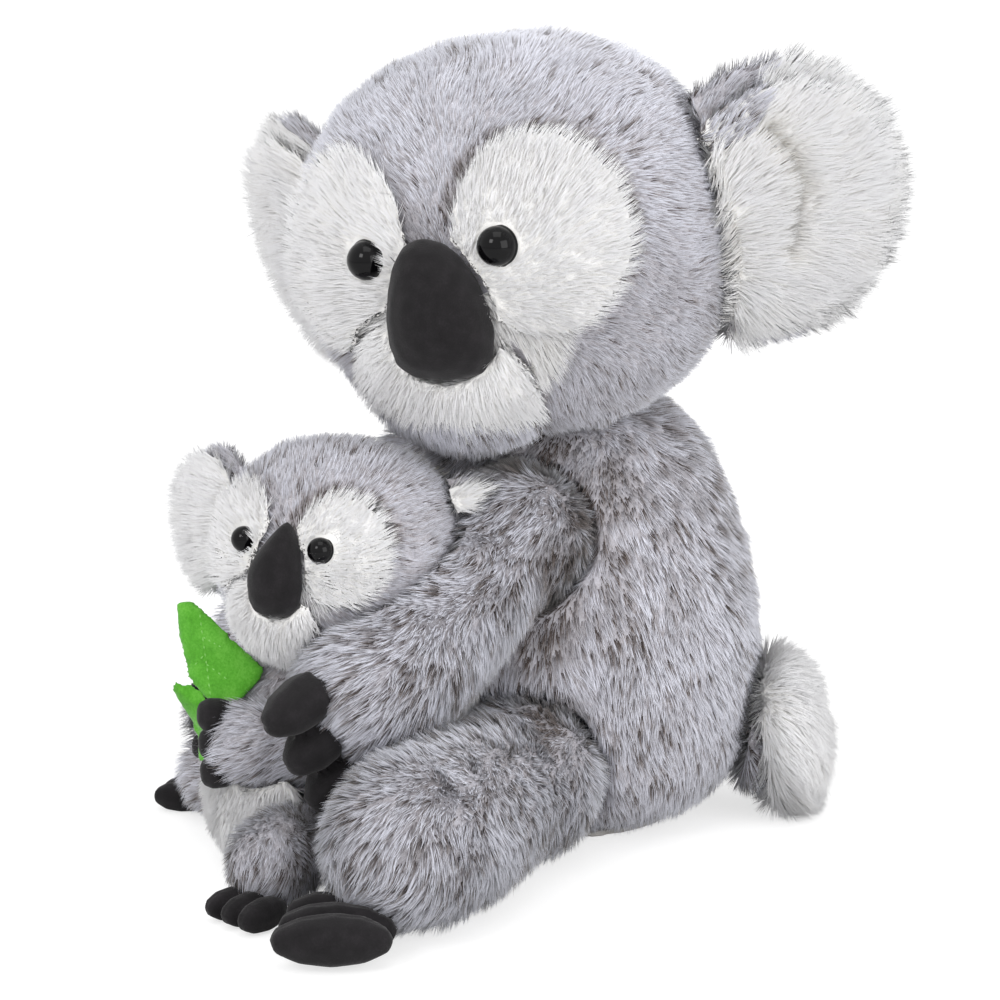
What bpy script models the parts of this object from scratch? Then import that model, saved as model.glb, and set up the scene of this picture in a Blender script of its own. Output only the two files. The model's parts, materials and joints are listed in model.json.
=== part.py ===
"""A seated plush koala that hugs its plush baby, which holds a green leaf.

Each stuffed piece is one solid, measured to the middle of its pile. The toy sits on
the plane z = 0 with the middle of its seat at the origin, faces -Y, and +X is its left.
A smaller piece is cut by the larger ones that it is sewn to, with a small gap.
"""
import math

import bmesh
import bpy
from mathutils import Matrix, Vector

# Gaps and cuts
GAP = 0.0003
FLOOR_SINK = 0.0005
OVERRUN = 0.020

# Body of the mother
BODY_RADIUS = 0.078
BODY_HEIGHT = 0.160
BODY_PROFILE_SHARES = (
    (0.00, 0.68), (0.05, 0.83), (0.14, 0.95), (0.30, 1.00), (0.47, 0.99),
    (0.63, 0.935), (0.78, 0.83), (0.89, 0.71), (0.96, 0.59), (1.00, 0.46),
)
SEAT_PANEL_THICKNESS = 0.0025
SEAT_PANEL_SHARE = 0.62
POUCH_RADIUS = 0.036
POUCH_HEIGHT = 0.030

# Head of the mother
HEAD_HALF_WIDTH = 0.081
HEAD_HALF_DEPTH = 0.075
HEAD_HALF_HEIGHT = 0.0755
HEAD_LEFT = 0.0095
HEAD_FORWARD = 0.019
HEAD_RISE_SHARE = 0.80
HEAD_YAW = 49.0
HEAD_PITCH = 2.5
HEAD_LEAN = 8.5
HEAD_FULLNESS = 2.25

# Body and head of the baby
BABY_RADIUS = 0.036
BABY_HEIGHT = 0.082
BABY_PROFILE_SHARES = (
    (0.00, 0.62), (0.05, 0.80), (0.15, 0.93), (0.30, 1.00), (0.50, 0.98),
    (0.70, 0.88), (0.86, 0.72), (1.00, 0.50),
)
BABY_LEFT = 0.033
BABY_NESTLE_SHARE = 0.25
BABY_HEAD_HALF_WIDTH = 0.045
BABY_HEAD_HALF_DEPTH = 0.042
BABY_HEAD_HALF_HEIGHT = 0.0425
BABY_HEAD_LEFT = 0.004
BABY_HEAD_BACK = 0.010
BABY_HEAD_RISE_SHARE = 0.75
BABY_HEAD_YAW = 44.0
BABY_HEAD_PITCH = -9.0
BABY_HEAD_LEAN = -1.0

# A face, in degrees on its head and in shares of the head's half width
EYE_BEARING = 19.5
BABY_EYE_BEARING = 22.0
EYE_RISE = 5.5
EYE_PATCH_BEARING = 30.0
EYE_PATCH_RISE = 7.0
EYE_PATCH_WIDTH_SHARE = 0.42
EYE_PATCH_HEIGHT_SHARE = 0.48
EYE_PATCH_DEPTH_SHARE = 0.30
PATCH_THICKNESS_SHARE = 0.040
MUZZLE_BEARING = -7.0
MUZZLE_DROP = 35.0
MUZZLE_WIDTH_SHARE = 0.50
MUZZLE_HEIGHT_SHARE = 0.47
MUZZLE_DEPTH_SHARE = 0.36
MUZZLE_SINK_SHARE = 0.22
NOSE_DROP = 9.0
BABY_NOSE_DROP = 5.0
NOSE_SINK_SHARE = 0.02
NOSE_HALF_WIDTH = 0.0190
NOSE_HALF_HEIGHT = 0.0260
NOSE_HALF_DEPTH = 0.017
BABY_NOSE_HALF_WIDTH = 0.0100
BABY_NOSE_HALF_HEIGHT = 0.0172
BABY_NOSE_HALF_DEPTH = 0.0100
NOSE_TAPER_SHARE = 0.30

# Safety eyes: a dome on a post, locked by a washer behind the fabric
EYE_RADIUS = 0.0070
EYE_STAND_SHARE = 0.035
EYE_DOME_SHARES = ((0.0, 1.0), (0.3, 0.97), (0.55, 0.80), (0.72, 0.52), (0.80, 0.15))
POST_RADIUS = 0.0022
POST_LENGTH = 0.0140
WASHER_RADIUS = 0.0075
WASHER_THICKNESS = 0.0018
BABY_EYE_RADIUS = 0.0046
BABY_POST_RADIUS = 0.0016
BABY_POST_LENGTH = 0.0100
BABY_WASHER_RADIUS = 0.0052
BABY_WASHER_THICKNESS = 0.0015
POST_END_SHARE = 0.15

# Ears: a round back, and a lining in front of it; each stands out, back and up
EAR_RADIUS = 0.055
EAR_HALF_THICKNESS = 0.011
EAR_PLACE_SHARES = (1.09, 0.32, 0.0)
EAR_SWEEP = 42.0
EAR_LEAN = 16.0
LINING_SHARE = 0.86
LINING_STAND_SHARE = 0.75
BABY_EAR_RADIUS = 0.029
BABY_EAR_HALF_THICKNESS = 0.0065
BABY_LEFT_EAR_SHARES = (0.90, 0.42, 0.12)
BABY_RIGHT_EAR_SHARES = (1.20, 0.12, 0.10)
BABY_EAR_SWEEP = 32.0
BABY_EAR_LEAN = 8.0

# Arms of the mother
ARM_RADIUS = 0.0285
LEFT_ARM_LENGTH = 0.088
RIGHT_ARM_LENGTH = 0.050
ARM_ROOT_HEIGHT_SHARE = 0.73
ARM_ROOT_BEARING = 56.0
ARM_ROOT_SINK_SHARE = 0.35
LEFT_ARM_BEARING = 25.0
RIGHT_ARM_BEARING = -30.0
LEFT_ARM_DIP = 31.0
RIGHT_ARM_DIP = 40.0
ARM_PROFILE_SHARES = ((0.25, 0.94), (0.50, 1.01), (0.75, 1.04), (0.90, 1.02), (1.00, 0.95))

# Legs of the mother
LEG_RADIUS = 0.0315
LEG_LENGTH = 0.093
LEG_ROOT_BEARING = 60.0
LEG_ROOT_SINK_SHARE = 0.22
LEFT_LEG_BEARING = 44.0
RIGHT_LEG_BEARING = 62.0
LEG_SPLAY = 10.0
SPLAY_SHARES = (0.0, 0.5, 1.0)
LEG_PROFILE_SHARES = ((0.35, 0.95), (0.55, 1.01), (0.78, 1.00), (0.92, 0.95), (1.00, 0.86))

# Limbs of the baby
BABY_ARM_RADIUS = 0.0165
BABY_ARM_LENGTH = 0.024
BABY_ARM_ROOT_HEIGHT_SHARE = 0.63
BABY_ARM_ROOT_BEARING = 70.0
BABY_ARM_ROOT_SINK_SHARE = 0.50
BABY_LEFT_ARM_BEARING = -14.0
BABY_RIGHT_ARM_BEARING = -18.0
BABY_ARM_DIP = 2.0
BABY_ARM_PROFILE_SHARES = ((0.70, 1.00), (1.00, 0.90))
BABY_LEG_RADIUS = 0.0170
BABY_LEG_LENGTH = 0.032
BABY_LEG_ROOT_BEARING = 66.0
BABY_LEG_ROOT_SINK_SHARE = 0.35
BABY_LEFT_LEG_BEARING = 54.0
BABY_RIGHT_LEG_BEARING = 68.0
BABY_LEG_PROFILE_SHARES = ((0.70, 1.00), (1.00, 0.90))

# The root ball and the blunt tip of a limb
BALL_ANGLES = (-76.0, -48.0, -20.0, 4.0, 26.0)
TIP_ANGLES = (28.0, 56.0, 80.0)
TIP_BLUNT_SHARE = 0.75

# Stuffed claws, in shares of the radius of the limb that carries them
CLAW_COUNT = 3
CLAW_HALF_LENGTH_SHARE = 0.70
FOOT_CLAW_HALF_WIDTH_SHARE = 0.29
HAND_CLAW_HALF_WIDTH_SHARE = 0.35
HAND_CLAW_HALF_HEIGHT_SHARE = 0.40
FOOT_CLAW_HALF_HEIGHT_SHARE = 0.31
FOOT_CLAW_PITCH_SHARE = 0.34
HAND_CLAW_PITCH_SHARE = 0.56
HAND_CLAW_OUT_SHARE = 0.92
FOOT_CLAW_OUT_SHARE = 1.25
BABY_HAND_CLAW_OUT_SHARE = 0.74
BABY_FOOT_CLAW_HALF_WIDTH_SHARE = 0.34
BABY_FOOT_CLAW_PITCH_SHARE = 0.46
BABY_FOOT_CLAW_OUT_SHARE = 1.15
CLAW_FAN = 10.0
FOOT_CLAW_RISE_SHARE = 0.32
LEFT_FOOT_TURN_IN = 70.0
RIGHT_FOOT_TURN_IN = 24.0
BABY_FOOT_TURN_IN = 30.0

# Tail
TAIL_RADIUS = 0.025
TAIL_HALF_THICKNESS = 0.014
TAIL_TUFT_RADIUS = 0.031
TAIL_TUFT_HALF_THICKNESS = 0.015
TAIL_OUT_SHARE = 0.985
TAIL_TUFT_OUT_SHARE = 1.115
TAIL_BEARING = 155.0
TAIL_TILT = 10.0

# White bib of the mother and belly patch of the baby
BIB_HALF_WIDTH = 0.050
BIB_HALF_HEIGHT = 0.026
BIB_HALF_DEPTH = 0.040
BIB_THICKNESS = 0.004
BIB_HEIGHT_SHARE = 0.70
BELLY_HALF_WIDTH = 0.046
BELLY_HALF_HEIGHT = 0.026
BELLY_HALF_DEPTH = 0.040
BELLY_THICKNESS = 0.003
BELLY_HEIGHT_SHARE = 0.33

# Leaf that the baby holds
LEAF_LENGTH = 0.043
LEAF_HALF_WIDTH = 0.017
LEAF_HALF_THICKNESS = 0.0018
LEAF_LEFT_SHARE = 0.33
LEAF_FORWARD_SHARE = 0.95
LEAF_HEIGHT_SHARE = 0.73
LEAF_LIFT = 57.0
LEAF_BEARING = -72.0
SECOND_LEAF_LENGTH_SHARE = 0.62
SECOND_LEAF_LIFT = -20.0
SECOND_LEAF_BEARING = -47.0
LEAF_FACING = 60.0
LEAF_FACING_RISE = 10.0
LEAF_WIDTH_SHARES = (
    (0.00, 0.14), (0.10, 0.45), (0.28, 0.88), (0.48, 1.00), (0.68, 0.84), (0.86, 0.48), (1.00, 0.10),
)

# Faces round the forms
BODY_SIDES = 24
HEAD_SIDES = 22
HEAD_RINGS = 12
BABY_HEAD_SIDES = 18
BABY_HEAD_RINGS = 10
PATCH_SIDES = 16
PATCH_RINGS = 8
LIMB_SIDES = 14
CLAW_SIDES = 8
CLAW_RINGS = 6
EYE_SIDES = 10
LEAF_SIDES = 8

SIDES = (("left", 1), ("right", -1))


def clear_scene():
    for old in list(bpy.data.objects):
        bpy.data.objects.remove(old, do_unlink=True)


# Materials
def material(name, colour, roughness, metallic=0.0):
    made = bpy.data.materials.new(name)
    made.use_nodes = True
    shader = made.node_tree.nodes["Principled BSDF"]
    shader.inputs["Base Color"].default_value = (*colour, 1.0)
    shader.inputs["Roughness"].default_value = roughness
    shader.inputs["Metallic"].default_value = metallic
    made.diffuse_color = (*colour, 1.0)
    return made


# Forms: each returns a bmesh, enlarged all over by grow
def ellipsoid(half, sides, rings, grow=0.0, fullness=2.0, matrix=Matrix()):
    """A sphere with its own half sizes; a fullness over 2 makes it squarer."""
    mesh = bmesh.new()
    bmesh.ops.create_uvsphere(mesh, u_segments=sides, v_segments=rings, radius=1.0)
    for vert in mesh.verts:
        swell = sum(abs(c) ** fullness for c in vert.co) ** (-1.0 / fullness)
        vert.co = Vector(c * swell * (h + grow) for c, h in zip(vert.co, half))
    mesh.transform(matrix)
    return mesh


def ring_points(ring, sides):
    centre, across, up = ring
    turns = (2.0 * math.pi * k / sides for k in range(sides))
    return [centre + across * math.cos(a) + up * math.sin(a) for a in turns]


def loft(rings, sides, matrix=Matrix()):
    """A closed form through rings, each a centre and two half axes, by extruding its cap."""
    mesh = bmesh.new()
    cap = mesh.faces.new([mesh.verts.new(p) for p in ring_points(rings[0], sides)])
    for ring in rings[1:]:
        cap = bmesh.ops.extrude_discrete_faces(mesh, faces=[cap])["faces"][0]
        for vert, point in zip(cap.verts, ring_points(ring, sides)):
            vert.co = point
    bmesh.ops.holes_fill(mesh, edges=mesh.edges, sides=sides)
    bmesh.ops.recalc_face_normals(mesh, faces=mesh.faces)
    mesh.transform(matrix)
    return mesh


def turned(profile, sides, matrix=Matrix()):
    """A turned form from pairs of height and radius."""
    rings = [(Vector((0, 0, z)), Vector((r, 0, 0)), Vector((0, r, 0))) for z, r in profile]
    return loft(rings, sides, matrix)


def box(low, high):
    mesh = bmesh.new()
    bmesh.ops.create_cube(mesh, size=1.0)
    for vert in mesh.verts:
        vert.co = Vector(l + (h - l) * (c + 0.5) for c, l, h in zip(vert.co, low, high))
    return mesh


def profile_of(shares, radius, bottom, top, grow):
    pairs = [(bottom + z * (top - bottom), radius * r + grow) for z, r in shares]
    pairs[0] = (pairs[0][0] - grow, pairs[0][1])
    pairs[-1] = (pairs[-1][0] + grow, pairs[-1][1])
    return pairs


def radius_at(shares, share):
    """The radius share of a profile at a share of its height."""
    for (z0, r0), (z1, r1) in zip(shares, shares[1:]):
        if share <= z1:
            return r0 + (r1 - r0) * (share - z0) / (z1 - z0)
    return shares[-1][1]


def heading(bearing, rise=0.0):
    """A direction: bearing turns from -Y towards +X, and rise lifts it."""
    b, e = math.radians(bearing), math.radians(rise)
    return Vector((math.sin(b) * math.cos(e), -math.cos(b) * math.cos(e), math.sin(e)))


def looking(origin, forward, up=Vector((0, 0, 1))):
    """A frame at origin whose Z axis points forward and whose Y axis is nearest to up."""
    z = forward.normalized()
    x = up.cross(z).normalized()
    y = z.cross(x)
    return Matrix.Translation(origin) @ Matrix((x, y, z)).transposed().to_4x4()


# Objects
TOOLS = []


def new_object(name, mesh):
    data = bpy.data.meshes.new(name)
    mesh.to_mesh(data)
    mesh.free()
    made = bpy.data.objects.new(name, data)
    bpy.context.scene.collection.objects.link(made)
    return made


def cutter(mesh, name="cutter"):
    made = new_object(name, mesh)
    made.display_type = "WIRE"
    made.hide_render = True
    TOOLS.append(made)
    return made


def remove_cutters():
    for tool in TOOLS:
        bpy.data.objects.remove(tool, do_unlink=True)
    TOOLS.clear()


def boolean(piece, operation, tool):
    step = piece.modifiers.new(operation.title(), "BOOLEAN")
    step.operation = operation
    step.solver = "EXACT"
    step.object = tool


def islands_of(mesh):
    """The groups of joined vertices of a bmesh."""
    left = set(mesh.verts)
    islands = []
    for start in mesh.verts:
        if start not in left:
            continue
        left.discard(start)
        island = [start]
        for vert in island:
            for edge in vert.link_edges:
                other = edge.other_vert(vert)
                if other in left:
                    left.discard(other)
                    island.append(other)
        islands.append(island)
    return islands


def area_of(island):
    return sum(face.calc_area() for face in {face for vert in island for face in vert.link_faces})


def finish_cuts(piece):
    """Applies a piece's cuts and drops the slivers that they split off."""
    depsgraph = bpy.context.evaluated_depsgraph_get()
    cut = bpy.data.meshes.new_from_object(piece.evaluated_get(depsgraph))
    mesh = bmesh.new()
    mesh.from_mesh(cut)
    islands = islands_of(mesh)
    largest = max(islands, key=area_of)
    slivers = [vert for island in islands if island is not largest for vert in island]
    bmesh.ops.delete(mesh, geom=slivers, context="VERTS")
    piece.modifiers.clear()
    mesh.to_mesh(piece.data)
    mesh.free()
    bpy.data.meshes.remove(cut)


def node(name, mesh, finish, cut_by=(), joined=(), kept_in=None, pivot=None):
    """One sewn or moulded piece: its form, less the forms that it gives way to."""
    piece = new_object(name, mesh)
    piece.data.shade_smooth()
    piece.data.materials.append(finish)
    for other in joined:
        boolean(piece, "UNION", cutter(other, name + "_more"))
    if kept_in is not None:
        boolean(piece, "INTERSECT", cutter(kept_in, name + "_outline"))
    for tool in cut_by:
        boolean(piece, "DIFFERENCE", tool)
    finish_cuts(piece)
    if pivot is not None:
        piece.parent = pivot
        piece.matrix_parent_inverse = pivot.matrix_world.inverted()
    return piece


def empty(name, place):
    made = bpy.data.objects.new(name, None)
    made.matrix_world = Matrix.Translation(place)
    made.empty_display_size = BODY_RADIUS
    bpy.context.scene.collection.objects.link(made)
    return made


# The forms of the mother's body and of both heads
SOCKET_SWELL = 1.0 / (math.cos(math.pi / LIMB_SIDES) * math.cos(math.pi / (2 * PATCH_RINGS)))
BODY_BOTTOM = SEAT_PANEL_THICKNESS + GAP
HAND_SPREAD = (
    HAND_CLAW_HALF_WIDTH_SHARE, HAND_CLAW_HALF_HEIGHT_SHARE, HAND_CLAW_PITCH_SHARE, HAND_CLAW_OUT_SHARE,
)
FOOT_SPREAD = (
    FOOT_CLAW_HALF_WIDTH_SHARE, FOOT_CLAW_HALF_HEIGHT_SHARE, FOOT_CLAW_PITCH_SHARE, FOOT_CLAW_OUT_SHARE,
)
BABY_HAND_SPREAD = (
    HAND_CLAW_HALF_WIDTH_SHARE, HAND_CLAW_HALF_HEIGHT_SHARE, HAND_CLAW_PITCH_SHARE, BABY_HAND_CLAW_OUT_SHARE,
)
BABY_FOOT_SPREAD = (
    BABY_FOOT_CLAW_HALF_WIDTH_SHARE, HAND_CLAW_HALF_HEIGHT_SHARE, BABY_FOOT_CLAW_PITCH_SHARE,
    BABY_FOOT_CLAW_OUT_SHARE,
)
BABY_PLACE = Vector((
    BABY_LEFT,
    -(BODY_RADIUS + BABY_RADIUS * (1.0 - BABY_NESTLE_SHARE)),
    0.0,
))


def body_form(grow=0.0, swell=1.0):
    profile = profile_of(BODY_PROFILE_SHARES, BODY_RADIUS * swell, BODY_BOTTOM, BODY_HEIGHT, grow)
    return turned(profile, BODY_SIDES)


def baby_body_form(grow=0.0):
    profile = profile_of(BABY_PROFILE_SHARES, BABY_RADIUS, 0.0, BABY_HEIGHT, grow)
    return turned(profile, BODY_SIDES, Matrix.Translation(BABY_PLACE))


class Head:
    """The numbers of one head, and places on its surface."""

    def __init__(self, prefix, half, centre, yaw, pitch, lean, sides, rings, eye_bearing, nose_drop):
        self.prefix = prefix
        self.eye_bearing = eye_bearing
        self.nose_drop = nose_drop
        self.half = Vector(half)
        self.sides = sides
        self.rings = rings
        turn = Matrix.Rotation(math.radians(yaw), 4, "Z")
        nod = Matrix.Rotation(math.radians(pitch), 4, "X")
        tip = Matrix.Rotation(math.radians(-lean), 4, "Y")
        self.frame = Matrix.Translation(centre) @ turn @ nod @ tip

    def form(self, grow=0.0):
        return ellipsoid(self.half, self.sides, self.rings, grow, HEAD_FULLNESS, self.frame)

    def surface(self, bearing, rise, out=0.0):
        """A frame on the surface, its Z axis out of the head and its Y axis up."""
        ray = heading(bearing, rise)
        unit = Vector(c / h for c, h in zip(ray, self.half))
        reach = sum(abs(c) ** HEAD_FULLNESS for c in unit) ** (-1.0 / HEAD_FULLNESS)
        point = ray * reach
        normal = Vector(
            math.copysign(abs(c / h) ** (HEAD_FULLNESS - 1.0) / h, c)
            for c, h in zip(point, self.half)
        ).normalized()
        return self.frame @ looking(point + normal * out, normal)

    def holds(self, point):
        """Whether a point is inside the head."""
        local = self.frame.inverted() @ point
        return sum(abs(c / h) ** HEAD_FULLNESS for c, h in zip(local, self.half)) < 1.0

    def blob(self, bearing, rise, half, out, sides=PATCH_SIDES, rings=PATCH_RINGS, grow=0.0):
        return ellipsoid(half, sides, rings, grow, 2.0, self.surface(bearing, rise, out))


MOTHER_HEAD = Head(
    "mother",
    (HEAD_HALF_WIDTH, HEAD_HALF_DEPTH, HEAD_HALF_HEIGHT),
    Vector((HEAD_LEFT, -HEAD_FORWARD, BODY_HEIGHT + HEAD_RISE_SHARE * HEAD_HALF_HEIGHT)),
    HEAD_YAW, HEAD_PITCH, HEAD_LEAN, HEAD_SIDES, HEAD_RINGS, EYE_BEARING, NOSE_DROP,
)
BABY_HEAD = Head(
    "baby",
    (BABY_HEAD_HALF_WIDTH, BABY_HEAD_HALF_DEPTH, BABY_HEAD_HALF_HEIGHT),
    BABY_PLACE + Vector((
        BABY_HEAD_LEFT, BABY_HEAD_BACK, BABY_HEIGHT + BABY_HEAD_RISE_SHARE * BABY_HEAD_HALF_HEIGHT,
    )),
    BABY_HEAD_YAW, BABY_HEAD_PITCH, BABY_HEAD_LEAN, BABY_HEAD_SIDES, BABY_HEAD_RINGS,
    BABY_EYE_BEARING, BABY_NOSE_DROP,
)


class Limb:
    """A stuffed limb: a ball at its root, a swelling middle and a blunt tip."""

    def __init__(self, root, forward, length, radius, profile_shares):
        self.root = root
        self.forward = forward.normalized()
        self.length = length
        self.radius = radius
        self.profile_shares = profile_shares
        self.across = Vector((0, 0, 1)).cross(self.forward).normalized()
        self.up = self.forward.cross(self.across)
        self.tip_radius = radius * profile_shares[-1][1]
        self.tip = root + self.forward * (length + self.tip_radius * TIP_BLUNT_SHARE)

    def ring(self, along, radius):
        return self.root + self.forward * along, self.across * radius, self.up * radius

    def form(self, grow=0.0, turn=0.0):
        """The limb, turned about the upright through its root."""
        rings = []
        for angle in BALL_ANGLES:
            a = math.radians(angle)
            rings.append(self.ring(math.sin(a) * (self.radius + grow), math.cos(a) * (self.radius + grow)))
        for along, share in self.profile_shares:
            rings.append(self.ring(along * self.length, self.radius * share + grow))
        for angle in TIP_ANGLES:
            a = math.radians(angle)
            reach = (self.tip_radius * TIP_BLUNT_SHARE + grow) * math.sin(a)
            rings.append(self.ring(self.length + reach, (self.tip_radius + grow) * math.cos(a)))
        swing = Matrix.Rotation(math.radians(turn), 4, "Z")
        return loft(rings, LIMB_SIDES, Matrix.Translation(self.root) @ swing @ Matrix.Translation(-self.root))

    def socket(self, grow, swell=1.0):
        """The ball that the body holds, as a hollow for it."""
        half = Vector((1.0, 1.0, 1.0)) * (self.radius * swell)
        return ellipsoid(half, LIMB_SIDES, PATCH_RINGS, grow, 2.0, looking(self.root, self.forward))


def limb_root(place, shares, radius, height, share, bearing, sink):
    """A point under the surface of a turned body."""
    out = heading(bearing)
    reach = radius * radius_at(shares, share) - sink
    return place + Vector((out.x * reach, out.y * reach, share * height))


def mother_arm(side, bearing, dip, length):
    root = limb_root(
        Vector(), BODY_PROFILE_SHARES, BODY_RADIUS, BODY_HEIGHT, ARM_ROOT_HEIGHT_SHARE,
        side * ARM_ROOT_BEARING, ARM_RADIUS * ARM_ROOT_SINK_SHARE,
    )
    return Limb(root, heading(side * bearing, -dip), length, ARM_RADIUS, ARM_PROFILE_SHARES)


def floor_limb(place, body_radius, root_bearing, sink_share, bearing, length, radius, shares):
    """A leg that lies on the floor."""
    widest = max(share for along, share in shares)
    rise = radius * widest - FLOOR_SINK
    out = heading(root_bearing) * (body_radius - radius * sink_share)
    return Limb(place + out + Vector((0, 0, rise)), heading(bearing), length, radius, shares)


def mother_leg(side, bearing):
    return floor_limb(
        Vector(), BODY_RADIUS, side * LEG_ROOT_BEARING, LEG_ROOT_SINK_SHARE,
        side * bearing, LEG_LENGTH, LEG_RADIUS, LEG_PROFILE_SHARES,
    )


def baby_leg(side, bearing):
    return floor_limb(
        BABY_PLACE, BABY_RADIUS, side * BABY_LEG_ROOT_BEARING, BABY_LEG_ROOT_SINK_SHARE,
        side * bearing, BABY_LEG_LENGTH, BABY_LEG_RADIUS, BABY_LEG_PROFILE_SHARES,
    )


def baby_arm(side, bearing):
    root = limb_root(
        BABY_PLACE, BABY_PROFILE_SHARES, BABY_RADIUS, BABY_HEIGHT, BABY_ARM_ROOT_HEIGHT_SHARE,
        side * BABY_ARM_ROOT_BEARING, BABY_ARM_RADIUS * BABY_ARM_ROOT_SINK_SHARE,
    )
    forward = heading(side * bearing, -BABY_ARM_DIP)
    return Limb(root, forward, BABY_ARM_LENGTH, BABY_ARM_RADIUS, BABY_ARM_PROFILE_SHARES)


def claw_forms(limb, across, spread, rise=0.0, turn=0.0, grow=0.0):
    """The stuffed claws at a limb's tip, side by side along across; spread is their half width, half height, pitch and reach shares."""
    half_width_share, half_height_share, pitch_share, out_share = spread
    forward = (limb.forward - across * limb.forward.dot(across)).normalized()
    normal = forward.cross(across)
    inward = Matrix.Rotation(math.radians(turn), 3, normal)
    forward = inward @ forward
    across = inward @ across
    half = Vector((half_width_share, half_height_share, CLAW_HALF_LENGTH_SHARE)) * limb.radius
    forms = []
    for k in range(CLAW_COUNT):
        place = k - (CLAW_COUNT - 1) / 2.0
        fan = Matrix.Rotation(math.radians(place * CLAW_FAN), 3, normal)
        point = limb.tip - forward * limb.radius * (1.0 - out_share)
        point = point + across * place * limb.radius * pitch_share
        point.z += rise
        forms.append(ellipsoid(
            half, CLAW_SIDES, CLAW_RINGS, grow, 2.0, looking(point, fan @ forward, normal),
        ))
    return forms


def eye_profile(radius, post_radius, post_length):
    profile = [(-post_length, post_radius), (0.0, post_radius)]
    return profile + [(z * radius, r * radius) for z, r in EYE_DOME_SHARES]


def eye_room(radius, post_radius, post_length, washer_radius, washer_thickness):
    """The hollow for a safety eye and its washer."""
    end = -post_length * (1.0 - POST_END_SHARE)
    start = end + washer_thickness
    return [
        (-post_length - GAP, post_radius + GAP), (end - GAP, post_radius + GAP),
        (end - GAP, washer_radius + GAP), (start + GAP, washer_radius + GAP),
        (start + GAP, post_radius + GAP), (-GAP, post_radius + GAP),
        (-GAP, radius + GAP), (radius, radius + GAP),
    ]


def washer_form(post_radius, post_length, radius, thickness, matrix):
    """A flat ring round the post, spun from its section."""
    end = -post_length * (1.0 - POST_END_SHARE)
    bore = post_radius + GAP
    corners = ((bore, end), (radius, end), (radius, end + thickness), (bore, end + thickness))
    mesh = bmesh.new()
    verts = [mesh.verts.new((r, 0.0, z)) for r, z in corners]
    edges = [mesh.edges.new((verts[k], verts[k - 1])) for k in range(len(verts))]
    bmesh.ops.spin(
        mesh, geom=verts + edges, cent=(0, 0, 0), axis=(0, 0, 1),
        angle=2.0 * math.pi, steps=EYE_SIDES, use_merge=True,
    )
    bmesh.ops.recalc_face_normals(mesh, faces=mesh.faces)
    mesh.transform(matrix)
    return mesh


def nose_form(head, half, grow=0.0):
    """A shield that is wider at its foot than at its top."""
    mesh = ellipsoid(half, PATCH_SIDES, PATCH_RINGS, grow)
    for vert in mesh.verts:
        vert.co.x *= 1.0 - NOSE_TAPER_SHARE * vert.co.y / half[1]
    mesh.transform(head.surface(0.0, -head.nose_drop, head.half.x * NOSE_SINK_SHARE))
    return mesh


def make_face(head, finishes, eye, nose_half, cut_by, pivot):
    """Eye patches, muzzle, nose, eyes and washers of one head; returns the eyes' hollows."""
    radius, post_radius, post_length, washer_radius, washer_thickness = eye
    prefix = head.prefix
    width = head.half.x
    rooms = []
    head_tool = cutter(head.form(GAP), prefix + "_head_room")
    patch_half = Vector((EYE_PATCH_WIDTH_SHARE, EYE_PATCH_HEIGHT_SHARE, EYE_PATCH_DEPTH_SHARE)) * width
    muzzle_half = Vector((MUZZLE_WIDTH_SHARE, MUZZLE_HEIGHT_SHARE, MUZZLE_DEPTH_SHARE)) * width
    muzzle = (MUZZLE_BEARING, -MUZZLE_DROP, muzzle_half, -MUZZLE_SINK_SHARE * width)
    muzzle_tool = cutter(head.blob(*muzzle, grow=GAP), prefix + "_muzzle_room")
    nose_tool = cutter(nose_form(head, nose_half, GAP), prefix + "_nose_room")
    for word, side in SIDES:
        seat = head.surface(side * head.eye_bearing, EYE_RISE, EYE_STAND_SHARE * width)
        room = cutter(turned(eye_room(*eye), EYE_SIDES, seat), f"{prefix}_eye_room_{word}")
        rooms.append(room)
        outline = head.blob(side * EYE_PATCH_BEARING, EYE_PATCH_RISE, patch_half, 0.0)
        node(
            f"{prefix}_eye_patch_{word}", head.form(PATCH_THICKNESS_SHARE * width), finishes["white"],
            [head_tool, muzzle_tool, nose_tool, room, *cut_by], kept_in=outline, pivot=pivot,
        )
        profile = eye_profile(radius, post_radius, post_length)
        node(f"{prefix}_eye_{word}", turned(profile, EYE_SIDES, seat), finishes["eye"], pivot=pivot)
        washer = washer_form(post_radius, post_length, washer_radius, washer_thickness, seat)
        node(f"{prefix}_eye_washer_{word}", washer, finishes["washer"], pivot=pivot)
    node(
        f"{prefix}_muzzle", head.blob(*muzzle), finishes["white"],
        [head_tool, nose_tool, *rooms, *cut_by], pivot=pivot,
    )
    node(f"{prefix}_nose", nose_form(head, nose_half), finishes["suede"], [head_tool], pivot=pivot)
    return rooms


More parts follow.
